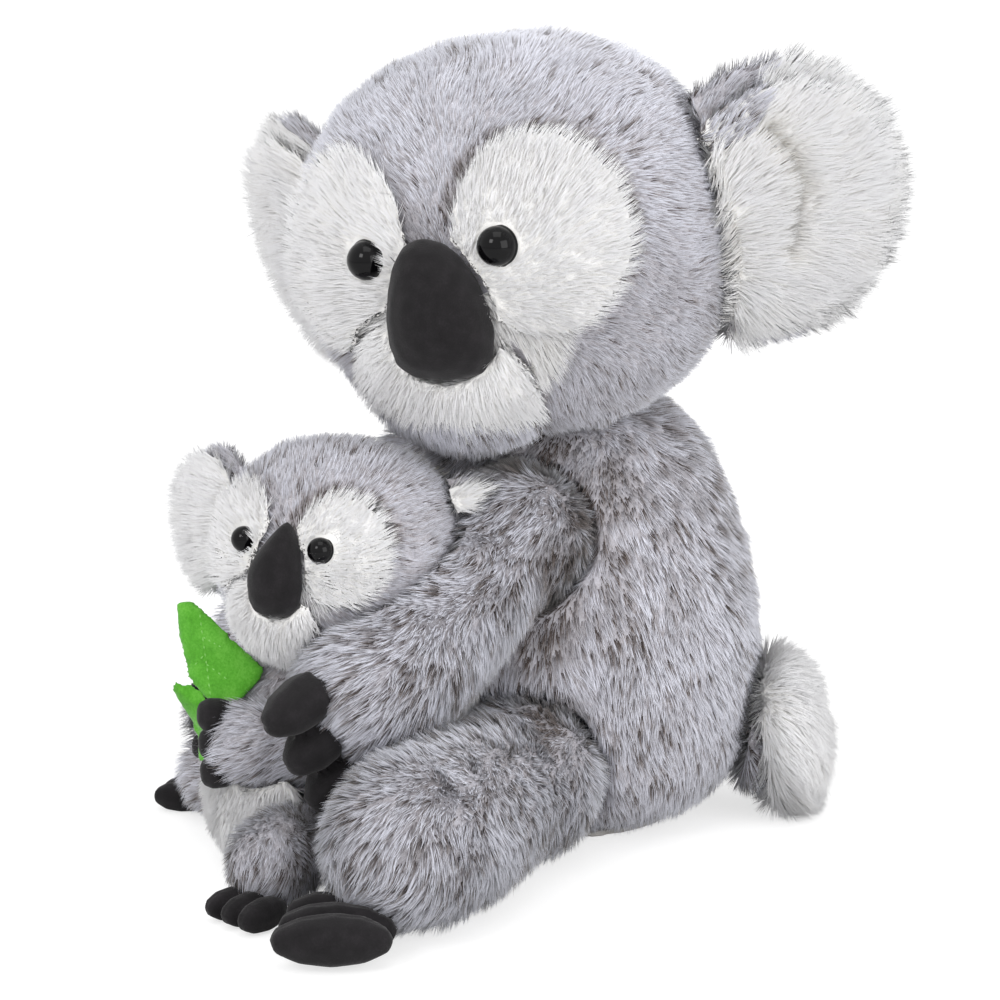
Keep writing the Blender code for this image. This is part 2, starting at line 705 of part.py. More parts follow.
class Ear:
    """One round ear, swept back from the side of its head."""

    def __init__(self, head, side, radius, half_thickness, place_shares, sweep, lean):
        width = head.half.x
        self.head = head
        self.side = side
        self.radius = radius
        self.half_thickness = half_thickness
        out, back, up = place_shares
        place = Vector((side * out, back, up)) * width
        turn = Matrix.Rotation(math.radians(side * sweep), 4, "Z")
        tip = Matrix.Rotation(math.radians(side * lean), 4, "Y")
        self.frame = head.frame @ Matrix.Translation(place) @ tip @ turn

    def hinge(self, name, parent):
        """A pivot at the back edge of the seam between the ear and its head."""
        inward = 0.0
        while not self.head.holds(self.frame @ Vector((-self.side * inward, self.half_thickness, 0))):
            inward += GAP
        made = empty(name, (0, 0, 0))
        made.matrix_world = self.frame @ Matrix.Translation((-self.side * inward, self.half_thickness, 0))
        made.parent = parent
        made.matrix_parent_inverse = parent.matrix_world.inverted()
        return made

    def back_form(self, grow=0.0):
        half = (self.radius, self.half_thickness, self.radius)
        return ellipsoid(half, PATCH_SIDES, PATCH_RINGS, grow, 2.0, self.frame)

    def lining_form(self, grow=0.0):
        half = (self.radius * LINING_SHARE, self.half_thickness, self.radius * LINING_SHARE)
        ahead = Matrix.Translation((0, -self.half_thickness * LINING_STAND_SHARE, 0))
        return ellipsoid(half, PATCH_SIDES, PATCH_RINGS, grow, 2.0, self.frame @ ahead)


def make_ear(ear, prefix, word, finishes, cut_by, pivot):
    node(f"{prefix}_ear_{word}", ear.back_form(), finishes["grey"], cut_by, pivot=pivot)
    behind = cutter(ear.back_form(GAP), f"{prefix}_ear_room_{word}")
    node(
        f"{prefix}_ear_lining_{word}", ear.lining_form(), finishes["white"],
        [behind, *cut_by], pivot=pivot,
    )


def make_limb(
    limb, name, finish, cut_by, claws_name, claw_finish, claw_across, spread, claw_rise, claw_turn, pivot, claws_cut_by=(),
):
    node(name, limb.form(), finish, cut_by, pivot=pivot)
    lobes = claw_forms(limb, claw_across, spread, claw_rise, claw_turn)
    limb_tool = cutter(limb.form(GAP), name + "_room")
    node(claws_name, lobes[0], claw_finish, [limb_tool, *cut_by, *claws_cut_by], lobes[1:], pivot=pivot)


def leaf_form(root, bearing, lift, length, grow=0.0):
    """A pointed leaf with a lens-shaped section, turned to face its own way."""
    forward = heading(bearing, lift)
    across = heading(LEAF_FACING, LEAF_FACING_RISE).cross(forward).normalized()
    normal = forward.cross(across)
    rings = []
    for along, share in LEAF_WIDTH_SHARES:
        half_width = LEAF_HALF_WIDTH * share + grow
        half_thickness = LEAF_HALF_THICKNESS + grow
        place = root + forward * ((length + 2 * grow) * along - grow)
        rings.append((place, across * half_width, normal * half_thickness))
    return loft(rings, LEAF_SIDES)


def build():
    clear_scene()
    finishes = {
        "grey": material("frosted_grey_plush", (0.42, 0.41, 0.43), 0.95),
        "white": material("white_plush", (0.88, 0.88, 0.87), 0.95),
        "suede": material("charcoal_suede", (0.030, 0.028, 0.030), 0.85),
        "eye": material("black_plastic", (0.010, 0.010, 0.011), 0.08),
        "washer": material("washer_plastic", (0.75, 0.75, 0.74), 0.45),
        "leaf": material("leaf_green_plush", (0.10, 0.42, 0.04), 0.90),
        "calico": material("calico", (0.72, 0.68, 0.60), 0.90),
    }
    grey, white, suede = finishes["grey"], finishes["white"], finishes["suede"]
    reach = BODY_RADIUS + BABY_RADIUS + LEG_LENGTH + OVERRUN
    floor = cutter(box((-2 * reach, -2 * reach, -OVERRUN), (2 * reach, 2 * reach, 0.0)), "floor")

    arms = {
        "left": mother_arm(1, LEFT_ARM_BEARING, LEFT_ARM_DIP, LEFT_ARM_LENGTH),
        "right": mother_arm(-1, RIGHT_ARM_BEARING, RIGHT_ARM_DIP, RIGHT_ARM_LENGTH),
    }
    legs = {
        "left": mother_leg(1, LEFT_LEG_BEARING),
        "right": mother_leg(-1, RIGHT_LEG_BEARING),
    }
    neck = empty("mother_neck", (0, 0, BODY_HEIGHT))
    leg_pivots = {word: empty(f"mother_hip_{word}", legs[word].root) for word, side in SIDES}

    # Body, seat panel and bean pouch of the mother
    limbs = [*arms.values(), *legs.values()]
    swells = [1.0, 1.0, SOCKET_SWELL, SOCKET_SWELL]
    body_hollows = [cutter(limb.socket(GAP, swell), "socket") for limb, swell in zip(limbs, swells)]
    pouch_place = Matrix.Translation((0, 0, BODY_BOTTOM))
    pouch_half = (POUCH_RADIUS, POUCH_RADIUS, POUCH_HEIGHT)
    pouch_room = cutter(ellipsoid(pouch_half, PATCH_SIDES, PATCH_RINGS, GAP, 2.0, pouch_place), "pouch_room")
    node("mother_body", body_form(), grey, [*body_hollows, pouch_room])
    under = cutter(box((-reach, -reach, -reach), (reach, reach, BODY_BOTTOM)), "under_pouch")
    node(
        "bean_pouch", ellipsoid(pouch_half, PATCH_SIDES, PATCH_RINGS, 0.0, 2.0, pouch_place),
        finishes["calico"], [under],
    )
    panel_radius = BODY_RADIUS * SEAT_PANEL_SHARE
    panel = [(0.0, panel_radius), (SEAT_PANEL_THICKNESS, panel_radius)]
    node("seat_panel", turned(panel, BODY_SIDES), grey)

    # What the smaller pieces give way to
    body_room = cutter(body_form(GAP), "body_room")
    for limb, swell in zip(limbs, swells):
        boolean(body_room, "DIFFERENCE", cutter(limb.socket(GAP / 2, swell), "socket_room"))
    neck_room = cutter(body_form(GAP, 1.0 / math.cos(math.pi / BODY_SIDES)), "neck_room")
    mother_head_room = cutter(MOTHER_HEAD.form(GAP), "mother_head_clearance")
    arm_rooms = [cutter(arms[word].form(GAP), "arm_room") for word, side in SIDES]
    leg_rooms = [
        cutter(legs[word].form(GAP, side * LEG_SPLAY * step), "leg_room")
        for word, side in SIDES for step in SPLAY_SHARES
    ]
    baby_head_room = cutter(BABY_HEAD.form(GAP), "baby_head_clearance")
    hand_rooms = [
        cutter(form, "hand_room") for arm in arms.values() for form in claw_forms(arm, arm.up, HAND_SPREAD, grow=GAP)
    ]
    baby_body_room = cutter(baby_body_form(GAP), "baby_body_clearance")

    # Head of the mother
    eye = (EYE_RADIUS, POST_RADIUS, POST_LENGTH, WASHER_RADIUS, WASHER_THICKNESS)
    nose_half = (NOSE_HALF_WIDTH, NOSE_HALF_HEIGHT, NOSE_HALF_DEPTH)
    rooms = make_face(MOTHER_HEAD, finishes, eye, nose_half, [neck_room], neck)
    node("mother_head", MOTHER_HEAD.form(), grey, [neck_room, *rooms], pivot=neck)
    for word, side in SIDES:
        ear = Ear(
            MOTHER_HEAD, side, EAR_RADIUS, EAR_HALF_THICKNESS,
            EAR_PLACE_SHARES, EAR_SWEEP, EAR_LEAN,
        )
        make_ear(ear, "mother", word, finishes, [mother_head_room], ear.hinge(f"mother_ear_hinge_{word}", neck))

    # Limbs of the mother
    foot_turns = {"left": -LEFT_FOOT_TURN_IN, "right": RIGHT_FOOT_TURN_IN}
    for word, side in SIDES:
        make_limb(
            arms[word], f"mother_arm_{word}", grey, [body_room, *leg_rooms, baby_head_room, baby_body_room],
            f"mother_hand_claws_{word}", suede, arms[word].up, HAND_SPREAD, 0.0, 0.0, None,
        )
        sole_rise = LEG_RADIUS * FOOT_CLAW_RISE_SHARE - legs[word].root.z
        make_limb(
            legs[word], f"mother_leg_{word}", grey, [body_room, floor],
            f"mother_foot_claws_{word}", suede, legs[word].across, FOOT_SPREAD,
            sole_rise, foot_turns[word], leg_pivots[word],
        )

    # Tail of the mother
    turn = Matrix.Rotation(math.radians(TAIL_BEARING - 180.0), 4, "Z")
    tilt = Matrix.Rotation(math.radians(TAIL_TILT), 4, "X")
    middle = TAIL_TUFT_RADIUS - FLOOR_SINK
    tail_place = turn @ Matrix.Translation((0, BODY_RADIUS * TAIL_OUT_SHARE, middle)) @ tilt
    tuft_place = turn @ Matrix.Translation((0, BODY_RADIUS * TAIL_TUFT_OUT_SHARE, middle)) @ tilt
    tail_half = (TAIL_RADIUS, TAIL_HALF_THICKNESS, TAIL_RADIUS)
    tuft_half = (TAIL_TUFT_RADIUS, TAIL_TUFT_HALF_THICKNESS, TAIL_TUFT_RADIUS)
    tail_root = empty("tail_root", (0, 0, 0))
    tail_root.matrix_world = turn @ Matrix.Translation((0, BODY_RADIUS, 2 * TAIL_TUFT_RADIUS))
    tail_mesh = ellipsoid(tail_half, PATCH_SIDES, PATCH_RINGS, 0.0, 2.0, tail_place)
    tail_room = cutter(ellipsoid(tail_half, PATCH_SIDES, PATCH_RINGS, GAP, 2.0, tail_place), "tail_room")
    tuft_mesh = ellipsoid(tuft_half, PATCH_SIDES, PATCH_RINGS, 0.0, 2.0, tuft_place)
    node("mother_tail", tail_mesh, grey, [body_room, floor], pivot=tail_root)
    node("mother_tail_tuft", tuft_mesh, white, [tail_room, body_room, floor], pivot=tail_root)

    # White bib of the mother
    bib_height = BODY_HEIGHT * BIB_HEIGHT_SHARE
    bib_reach = BODY_RADIUS * radius_at(BODY_PROFILE_SHARES, BIB_HEIGHT_SHARE)
    bib_outline = ellipsoid(
        (BIB_HALF_WIDTH, BIB_HALF_DEPTH, BIB_HALF_HEIGHT), PATCH_SIDES, PATCH_RINGS, 0.0, 2.0,
        Matrix.Translation((0, -bib_reach, bib_height)),
    )
    node(
        "mother_bib", body_form(BIB_THICKNESS), white,
        [body_room, *arm_rooms, *hand_rooms, mother_head_room, baby_head_room, baby_body_room],
        kept_in=bib_outline,
    )

    # Body and head of the baby
    baby_limbs = {
        "arm_left": baby_arm(1, BABY_LEFT_ARM_BEARING),
        "arm_right": baby_arm(-1, BABY_RIGHT_ARM_BEARING),
        "leg_left": baby_leg(1, BABY_LEFT_LEG_BEARING),
        "leg_right": baby_leg(-1, BABY_RIGHT_LEG_BEARING),
    }
    baby_hollows = [cutter(limb.socket(GAP), "baby_socket") for limb in baby_limbs.values()]
    node("baby_body", baby_body_form(), grey, [*baby_hollows, body_room, *leg_rooms])
    baby_room = cutter(baby_body_form(GAP), "baby_body_room")
    for limb in baby_limbs.values():
        boolean(baby_room, "DIFFERENCE", cutter(limb.socket(GAP / 2), "baby_socket_room"))
    baby_eye = (BABY_EYE_RADIUS, BABY_POST_RADIUS, BABY_POST_LENGTH, BABY_WASHER_RADIUS, BABY_WASHER_THICKNESS)
    baby_nose = (BABY_NOSE_HALF_WIDTH, BABY_NOSE_HALF_HEIGHT, BABY_NOSE_HALF_DEPTH)
    around_head = [body_room, baby_body_room]
    rooms = make_face(BABY_HEAD, finishes, baby_eye, baby_nose, [*around_head, *arm_rooms], None)
    node("baby_head", BABY_HEAD.form(), grey, [*around_head, *rooms])
    for (word, side), place_shares in zip(SIDES, (BABY_LEFT_EAR_SHARES, BABY_RIGHT_EAR_SHARES)):
        ear = Ear(
            BABY_HEAD, side, BABY_EAR_RADIUS, BABY_EAR_HALF_THICKNESS,
            place_shares, BABY_EAR_SWEEP, BABY_EAR_LEAN,
        )
        make_ear(ear, "baby", word, finishes, [baby_head_room, body_room, *arm_rooms], None)

    # Limbs of the baby
    nearby = [*arm_rooms, *hand_rooms, *leg_rooms, baby_head_room, body_room]
    baby_leg_rooms = [cutter(baby_limbs[f"leg_{word}"].form(GAP), "baby_leg_room") for word, side in SIDES]
    belly_room = cutter(baby_body_form(BELLY_THICKNESS + GAP), "belly_room")
    for k, (word, side) in enumerate(SIDES):
        arm = baby_limbs[f"arm_{word}"]
        make_limb(
            arm, f"baby_arm_{word}", grey, [baby_room, *baby_leg_rooms, *nearby],
            f"baby_hand_claws_{word}", suede, arm.up, BABY_HAND_SPREAD, 0.0, 0.0, None,
            [belly_room, *hand_rooms, baby_leg_rooms[1 - k]],
        )
        leg = baby_limbs[f"leg_{word}"]
        sole_rise = BABY_LEG_RADIUS * FOOT_CLAW_RISE_SHARE - leg.root.z
        make_limb(
            leg, f"baby_leg_{word}", grey, [baby_room, *nearby, floor],
            f"baby_foot_claws_{word}", suede, leg.across, BABY_FOOT_SPREAD,
            sole_rise, -side * BABY_FOOT_TURN_IN, None,
        )

    # Belly patch of the baby
    belly_height = BABY_HEIGHT * BELLY_HEIGHT_SHARE
    belly_outline = ellipsoid(
        (BELLY_HALF_WIDTH, BELLY_HALF_DEPTH, BELLY_HALF_HEIGHT), PATCH_SIDES, PATCH_RINGS, 0.0, 2.0,
        Matrix.Translation(BABY_PLACE + Vector((0, -BABY_RADIUS, belly_height))),
    )
    limb_rooms = [cutter(limb.form(GAP), "baby_limb_room") for limb in baby_limbs.values()]
    node(
        "baby_belly_patch", baby_body_form(BELLY_THICKNESS), white,
        [baby_body_room, body_room, *limb_rooms, *hand_rooms, *arm_rooms, *leg_rooms, baby_head_room, floor],
        kept_in=belly_outline,
    )

    # Leaf
    leaf_root = BABY_PLACE + Vector((
        BABY_RADIUS * LEAF_LEFT_SHARE, -BABY_RADIUS * LEAF_FORWARD_SHARE, BABY_HEIGHT * LEAF_HEIGHT_SHARE,
    ))
    upper = (leaf_root, LEAF_BEARING, LEAF_LIFT, LEAF_LENGTH)
    lower = (leaf_root, SECOND_LEAF_BEARING, SECOND_LEAF_LIFT, LEAF_LENGTH * SECOND_LEAF_LENGTH_SHARE)
    upper_room = cutter(leaf_form(*upper, GAP), "leaf_room")
    around_leaf = [*limb_rooms, *hand_rooms, *arm_rooms, baby_head_room, baby_body_room]
    for word, side in SIDES:
        arm = baby_limbs[f"arm_{word}"]
        around_leaf.extend(cutter(form, "claw_room") for form in claw_forms(arm, arm.up, BABY_HAND_SPREAD, grow=GAP))
    node("leaf_upper", leaf_form(*upper), finishes["leaf"], around_leaf)
    node("leaf_lower", leaf_form(*lower), finishes["leaf"], [upper_room, *around_leaf])
    remove_cutters()


build()
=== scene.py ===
# %% [markdown]
# # A plush koala that holds its baby
#
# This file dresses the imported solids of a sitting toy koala.
# Every solid already stands in its real place, in metres, with Z up, and the animal looks towards -Y.
# Here each stuffed solid gets a sewn skin, and each plush skin gets a pile of real, closed hairs,
# because a pile that is modelled keeps its look in every other program too.

# %% Load the solids
import json
import math
import bmesh
import bpy
import numpy as np
from mathutils import Matrix, Vector
from mathutils.bvhtree import BVHTree
from mathutils.kdtree import KDTree

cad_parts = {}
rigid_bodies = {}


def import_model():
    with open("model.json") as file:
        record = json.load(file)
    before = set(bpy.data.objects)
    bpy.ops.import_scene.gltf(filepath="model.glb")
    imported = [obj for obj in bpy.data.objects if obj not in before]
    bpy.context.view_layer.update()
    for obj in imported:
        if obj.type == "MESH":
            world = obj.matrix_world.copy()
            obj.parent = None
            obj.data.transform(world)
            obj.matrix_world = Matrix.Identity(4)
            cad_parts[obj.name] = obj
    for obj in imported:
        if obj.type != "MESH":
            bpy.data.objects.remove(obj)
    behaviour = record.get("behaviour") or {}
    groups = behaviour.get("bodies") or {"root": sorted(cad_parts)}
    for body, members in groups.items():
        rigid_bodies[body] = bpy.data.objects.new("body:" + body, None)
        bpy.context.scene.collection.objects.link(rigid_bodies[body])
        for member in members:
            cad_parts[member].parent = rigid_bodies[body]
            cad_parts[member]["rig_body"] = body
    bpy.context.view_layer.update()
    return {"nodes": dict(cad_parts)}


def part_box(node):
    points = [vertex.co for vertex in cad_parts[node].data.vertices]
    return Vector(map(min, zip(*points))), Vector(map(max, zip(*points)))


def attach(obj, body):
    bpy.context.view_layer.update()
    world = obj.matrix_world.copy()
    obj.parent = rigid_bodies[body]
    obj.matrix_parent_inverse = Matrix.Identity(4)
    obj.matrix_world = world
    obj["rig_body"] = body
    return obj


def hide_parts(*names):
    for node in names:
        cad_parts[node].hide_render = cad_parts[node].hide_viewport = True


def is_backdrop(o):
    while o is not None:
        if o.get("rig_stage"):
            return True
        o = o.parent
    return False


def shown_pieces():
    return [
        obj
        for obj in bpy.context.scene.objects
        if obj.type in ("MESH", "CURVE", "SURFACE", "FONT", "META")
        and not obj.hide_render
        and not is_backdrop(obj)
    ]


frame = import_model()

# %% [markdown]
# ## Camera, floor and light
#
# A product photograph is taken with a long lens from some way off, so that near parts aren't swollen.
# The light comes from a white room and from three soft boxes: one high on the camera's left, a wider one
# on its right that lifts the toy's own left side, and one overhead. The floor glows to the camera alone.

# %% Camera
AZIMUTH = math.radians(72.0)
ELEVATION = math.radians(13.0)
AIM = Vector((-0.00669, -0.02058, 0.11815))
DISTANCE = 1.2
LENS = 114.3
to_camera = Vector((
    math.sin(AZIMUTH) * math.cos(ELEVATION), -math.cos(AZIMUTH) * math.cos(ELEVATION), math.sin(ELEVATION),
))
camera_data = bpy.data.cameras.new("studio_camera")
camera_data.sensor_width = 36.0
camera_data.lens = LENS
camera = bpy.data.objects.new("studio_camera", camera_data)
camera.location = AIM + to_camera * DISTANCE
camera.rotation_euler = to_camera.to_track_quat("Z", "Y").to_euler()
bpy.context.scene.collection.objects.link(camera)
bpy.context.scene.camera = camera
print("camera at", [round(c, 3) for c in camera.location])


# %% Colours as they are seen, turned into the numbers that a shader wants
def paint(red, green, blue):
    """A screen colour from 0 to 255, as linear light with full alpha."""
    channels = []
    for value in (red, green, blue):
        share = value / 255.0
        channels.append(share / 12.92 if share <= 0.04045 else ((share + 0.055) / 1.055) ** 2.4)
    return (*channels, 1.0)


def join(tree, start, end):
    """Links one socket to another."""
    tree.links.new(start, end)


def ramp(tree, stops):
    """A colour ramp node with the given (place, colour) stops."""
    made = tree.nodes.new("ShaderNodeValToRGB")
    stretch = made.color_ramp
    while len(stretch.elements) < len(stops):
        stretch.elements.new(0.5)
    for element, (place, colour) in zip(stretch.elements, stops):
        element.position = place
        element.color = colour
    return made


print("a mid grey of 128 is", round(paint(128, 128, 128)[0], 3), "in linear light")

# %% White room, seen as white by the camera
world = bpy.data.worlds.new("studio")
bpy.context.scene.world = world
world.use_nodes = True
room = world.node_tree
room.nodes.clear()
glow = room.nodes.new("ShaderNodeBackground")
glow.inputs["Color"].default_value = (1.0, 1.0, 1.0, 1.0)
glow.inputs["Strength"].default_value = 1.0
room_out = room.nodes.new("ShaderNodeOutputWorld")
join(room, glow.outputs[0], room_out.inputs["Surface"])
print("room light set")


# %% Soft boxes
def soft_box(name, place, target, width, power):
    """A square area lamp at place that faces target."""
    data = bpy.data.lights.new(name, "AREA")
    data.shape = "SQUARE"
    data.size = width
    data.energy = power
    lamp = bpy.data.objects.new(name, data)
    lamp.location = place
    lamp.rotation_euler = (Vector(place) - Vector(target)).to_track_quat("Z", "Y").to_euler()
    bpy.context.scene.collection.objects.link(lamp)


right_of_camera = Vector((math.cos(AZIMUTH), math.sin(AZIMUTH), 0.0))
toward_camera = Vector((math.sin(AZIMUTH), -math.cos(AZIMUTH), 0.0))
up = Vector((0.0, 0.0, 1.0))
LIT_PLACE = (0.0, 0.0, 0.15)
key_place = -right_of_camera * 0.70 + toward_camera * 0.95 + up * 0.95
fill_place = right_of_camera * 0.85 + toward_camera * 0.95 + up * 0.55
top_place = toward_camera * 0.35 + up * 1.6
soft_box("key_box", key_place, LIT_PLACE, width=0.42, power=4.0)
soft_box("fill_box", fill_place, LIT_PLACE, width=0.9, power=6.5)
soft_box("top_box", top_place, LIT_PLACE, width=0.9, power=4.0)

# %% Floor
FLOOR_TONE = (0.8, 0.8, 0.8, 1.0)
FLOOR_TONE_SEEN = (0.42, 0.42, 0.42, 1.0)
FLOOR_GLOW_SEEN = 0.68
bpy.ops.object.select_all(action="DESELECT")
bpy.ops.mesh.primitive_plane_add(size=9.0, location=(0.0, 0.0, 0.0))
floor = bpy.context.active_object
floor.name = "studio_floor"
floor_paint = bpy.data.materials.new("studio_floor")
floor_paint.use_nodes = True
floor_tree = floor_paint.node_tree
floor_shader = floor_tree.nodes["Principled BSDF"]
floor_rays = floor_tree.nodes.new("ShaderNodeLightPath")
floor_tone = floor_tree.nodes.new("ShaderNodeMix")
floor_tone.data_type = "RGBA"
floor_tone.inputs["A"].default_value = FLOOR_TONE
floor_tone.inputs["B"].default_value = FLOOR_TONE_SEEN
join(floor_tree, floor_rays.outputs["Is Camera Ray"], floor_tone.inputs["Factor"])
join(floor_tree, floor_tone.outputs["Result"], floor_shader.inputs["Base Color"])
floor_shader.inputs["Roughness"].default_value = 0.9
floor_shader.inputs["Specular IOR Level"].default_value = 0.0
floor_shader.inputs["Emission Color"].default_value = (1.0, 1.0, 1.0, 1.0)
floor_glow = floor_tree.nodes.new("ShaderNodeMath")
floor_glow.operation = "MULTIPLY"
floor_glow.inputs[1].default_value = FLOOR_GLOW_SEEN
join(floor_tree, floor_rays.outputs["Is Camera Ray"], floor_glow.inputs[0])
join(floor_tree, floor_glow.outputs[0], floor_shader.inputs["Emission Strength"])
floor.data.materials.append(floor_paint)
floor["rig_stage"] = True
bpy.context.scene.view_settings.view_transform = "Standard"
print("floor laid")

# %% [markdown]
# ## Finishes
#
# The grey plush is frosted: each hair is brown at its foot and pale, a little lilac, at its tip.
# That is why the coat looks silver from afar and shows brown ticks where the hairs part.
# Each hair carries a small map of its own, root to tip one way and silver to brown the other way,
# and two colour ramps turn that map into colour. The white plush is done the same way.


# %% Pile colours
def pile_material(name, silver, brown, soft):
    """Plush hair: silver and brown are (place, colour) stops from root to tip."""
    made = bpy.data.materials.new(name)
    made.use_nodes = True
    tree = made.node_tree
    shader = tree.nodes["Principled BSDF"]
    place = tree.nodes.new("ShaderNodeUVMap")
    place.uv_map = "OFBake"
    parts = tree.nodes.new("ShaderNodeSeparateXYZ")
    join(tree, place.outputs["UV"], parts.inputs[0])
    pale = ramp(tree, silver)
    dark = ramp(tree, brown)
    join(tree, parts.outputs["Y"], pale.inputs["Fac"])
    join(tree, parts.outputs["Y"], dark.inputs["Fac"])
    blend = tree.nodes.new("ShaderNodeMix")
    blend.data_type = "RGBA"
    join(tree, parts.outputs["X"], blend.inputs["Factor"])
    join(tree, pale.outputs["Color"], blend.inputs["A"])
    join(tree, dark.outputs["Color"], blend.inputs["B"])
    join(tree, blend.outputs["Result"], shader.inputs["Base Color"])
    rough = tree.nodes.new("ShaderNodeMapRange")
    rough.inputs["To Min"].default_value = 0.95
    rough.inputs["To Max"].default_value = 0.6
    join(tree, parts.outputs["Y"], rough.inputs["Value"])
    join(tree, rough.outputs[0], shader.inputs["Roughness"])
    shader.inputs["Specular IOR Level"].default_value = 0.3
    shader.inputs["Sheen Weight"].default_value = soft
    shader.inputs["Sheen Roughness"].default_value = 0.5
    return made


grey_pile = pile_material(
    "frosted_grey_pile",
    ((0.0, paint(118, 110, 110)), (0.2, paint(180, 178, 186)),
     (0.5, paint(220, 221, 231)), (1.0, paint(234, 236, 248))),
    ((0.0, paint(50, 40, 36)), (0.55, paint(84, 72, 66)),
     (0.82, paint(132, 122, 118)), (1.0, paint(186, 181, 183))),
    0.3,
)
white_pile = pile_material(
    "white_pile",
    ((0.0, paint(234, 233, 232)), (0.4, paint(242, 242, 244)), (1.0, paint(244, 244, 246))),
    ((0.0, paint(206, 200, 188)), (0.4, paint(232, 228, 221)), (1.0, paint(246, 245, 243))),
    0.3,
)
print("pile finishes:", grey_pile.name, white_pile.name)


# %% Woven backings, suede, plastic and leaf plush
def cloth_material(name, tones, size, bump_depth, roughness, sheen=0.0, grain=0.5):
    """A cloth whose tone and relief come from noise with features about size metres wide."""
    made = bpy.data.materials.new(name)
    made.use_nodes = True
    tree = made.node_tree
    shader = tree.nodes["Principled BSDF"]
    place = tree.nodes.new("ShaderNodeTexCoord")
    broad = tree.nodes.new("ShaderNodeTexNoise")
    broad.inputs["Scale"].default_value = 0.12 / size
    broad.inputs["Detail"].default_value = 3.0
    fine = tree.nodes.new("ShaderNodeTexNoise")
    fine.inputs["Scale"].default_value = 1.0 / size
    fine.inputs["Detail"].default_value = 5.0
    fine.inputs["Roughness"].default_value = 0.7
    both = tree.nodes.new("ShaderNodeMix")
    both.data_type = "FLOAT"
    both.inputs["Factor"].default_value = grain
    join(tree, place.outputs["Object"], broad.inputs["Vector"])
    join(tree, place.outputs["Object"], fine.inputs["Vector"])
    join(tree, broad.outputs["Fac"], both.inputs["A"])
    join(tree, fine.outputs["Fac"], both.inputs["B"])
    tone = ramp(tree, tones)
    join(tree, both.outputs["Result"], tone.inputs["Fac"])
    join(tree, tone.outputs["Color"], shader.inputs["Base Color"])
    rough = tree.nodes.new("ShaderNodeMapRange")
    rough.inputs["To Min"].default_value = max(roughness - 0.08, 0.02)
    rough.inputs["To Max"].default_value = min(roughness + 0.08, 1.0)
    join(tree, fine.outputs["Fac"], rough.inputs["Value"])
    join(tree, rough.outputs[0], shader.inputs["Roughness"])
    bump = tree.nodes.new("ShaderNodeBump")
    bump.inputs["Strength"].default_value = 0.6
    bump.inputs["Distance"].default_value = bump_depth
    join(tree, fine.outputs["Fac"], bump.inputs["Height"])
    join(tree, bump.outputs["Normal"], shader.inputs["Normal"])
    shader.inputs["Sheen Weight"].default_value = sheen
    shader.inputs["Sheen Roughness"].default_value = 0.45
    shader.inputs["Specular IOR Level"].default_value = 0.25
    return made


grey_backing = cloth_material(
    "grey_plush_backing",
    ((0.3, paint(104, 94, 90)), (0.45, paint(168, 164, 168)), (0.7, paint(206, 205, 214))),
    0.0012, 0.0006, 0.95, 0.2,
)
white_backing = cloth_material(
    "white_plush_backing",
    ((0.3, paint(234, 232, 228)), (0.6, paint(246, 245, 244)), (0.8, paint(252, 252, 252))),
    0.0012, 0.0006, 0.95, 0.2,
)
suede = cloth_material(
    "charcoal_suede", ((0.32, paint(15, 13, 15)), (0.5, paint(24, 22, 24)), (0.68, paint(36, 33, 36))),
    0.0007, 0.00025, 0.9, 0.12,
)
leaf_plush = cloth_material(
    "leaf_green_plush", ((0.3, paint(58, 128, 22)), (0.5, paint(82, 160, 42)), (0.7, paint(112, 186, 70))),
    0.0009, 0.0004, 0.9, 0.3,
)
leaf_thread = cloth_material(
    "leaf_thread", ((0.3, paint(120, 190, 84)), (0.6, paint(150, 212, 116))), 0.0004, 0.0001, 0.7,
)
calico = cloth_material(
    "calico", ((0.3, paint(176, 172, 168)), (0.6, paint(196, 193, 190))), 0.0006, 0.0002, 0.9,
)
washer_plastic = cloth_material(
    "washer_plastic", ((0.3, paint(190, 190, 186)), (0.7, paint(208, 208, 204))), 0.002, 0.00005, 0.4,
)
black_plastic = cloth_material(
    "black_eye_plastic", ((0.3, paint(4, 4, 5)), (0.7, paint(9, 8, 10))), 0.004, 0.00001, 0.04,
)
black_plastic.node_tree.nodes["Principled BSDF"].inputs["Specular IOR Level"].default_value = 0.2
print("finishes:", len(bpy.data.materials))


# %% [markdown]
# ## Sewn skins
#
# A plush toy is a bag of knitted backing, pushed tight by its filling.
# Each solid is copied, its faces are made even by a remesh, and it is shrunk by about half the pile.
# Then a short cloth simulation blows the larger pieces up from inside, as their filling does,
# and how far a point may move is capped.
# The fine seams come after that, because a remesh would wipe them out.


# %% Small helpers for working on one object
def only(*things):
    """Selects these objects alone, and makes the first one active."""
    bpy.ops.object.select_all(action="DESELECT")
    for thing in things:
        thing.select_set(True)
    bpy.context.view_layer.objects.active = things[0]


def with_modifier(thing, kind, **settings):
    """Adds a modifier, sets it and applies it."""
    only(thing)
    made = thing.modifiers.new(kind.lower(), kind)
    for key, value in settings.items():
        setattr(made, key, value)
    bpy.ops.object.modifier_apply(modifier=made.name)


def read_points(thing):
    """The mesh's points as rows of x, y, z."""
    flat = np.empty(len(thing.data.vertices) * 3, np.float32)
    thing.data.vertices.foreach_get("co", flat)
    return flat.reshape(-1, 3).astype(float)


def read_normals(thing):
    """The mesh's point normals as rows."""
    flat = np.empty(len(thing.data.vertices) * 3, np.float32)
    thing.data.vertices.foreach_get("normal", flat)
    return flat.reshape(-1, 3).astype(float)


def write_points(thing, points):
    """Puts the points back."""
    thing.data.vertices.foreach_set("co", points.astype(np.float32).ravel())
    thing.data.update()


def unit(rows):
    """Rows made one long."""
    return rows / np.maximum(np.linalg.norm(rows, axis=1, keepdims=True), 1e-9)


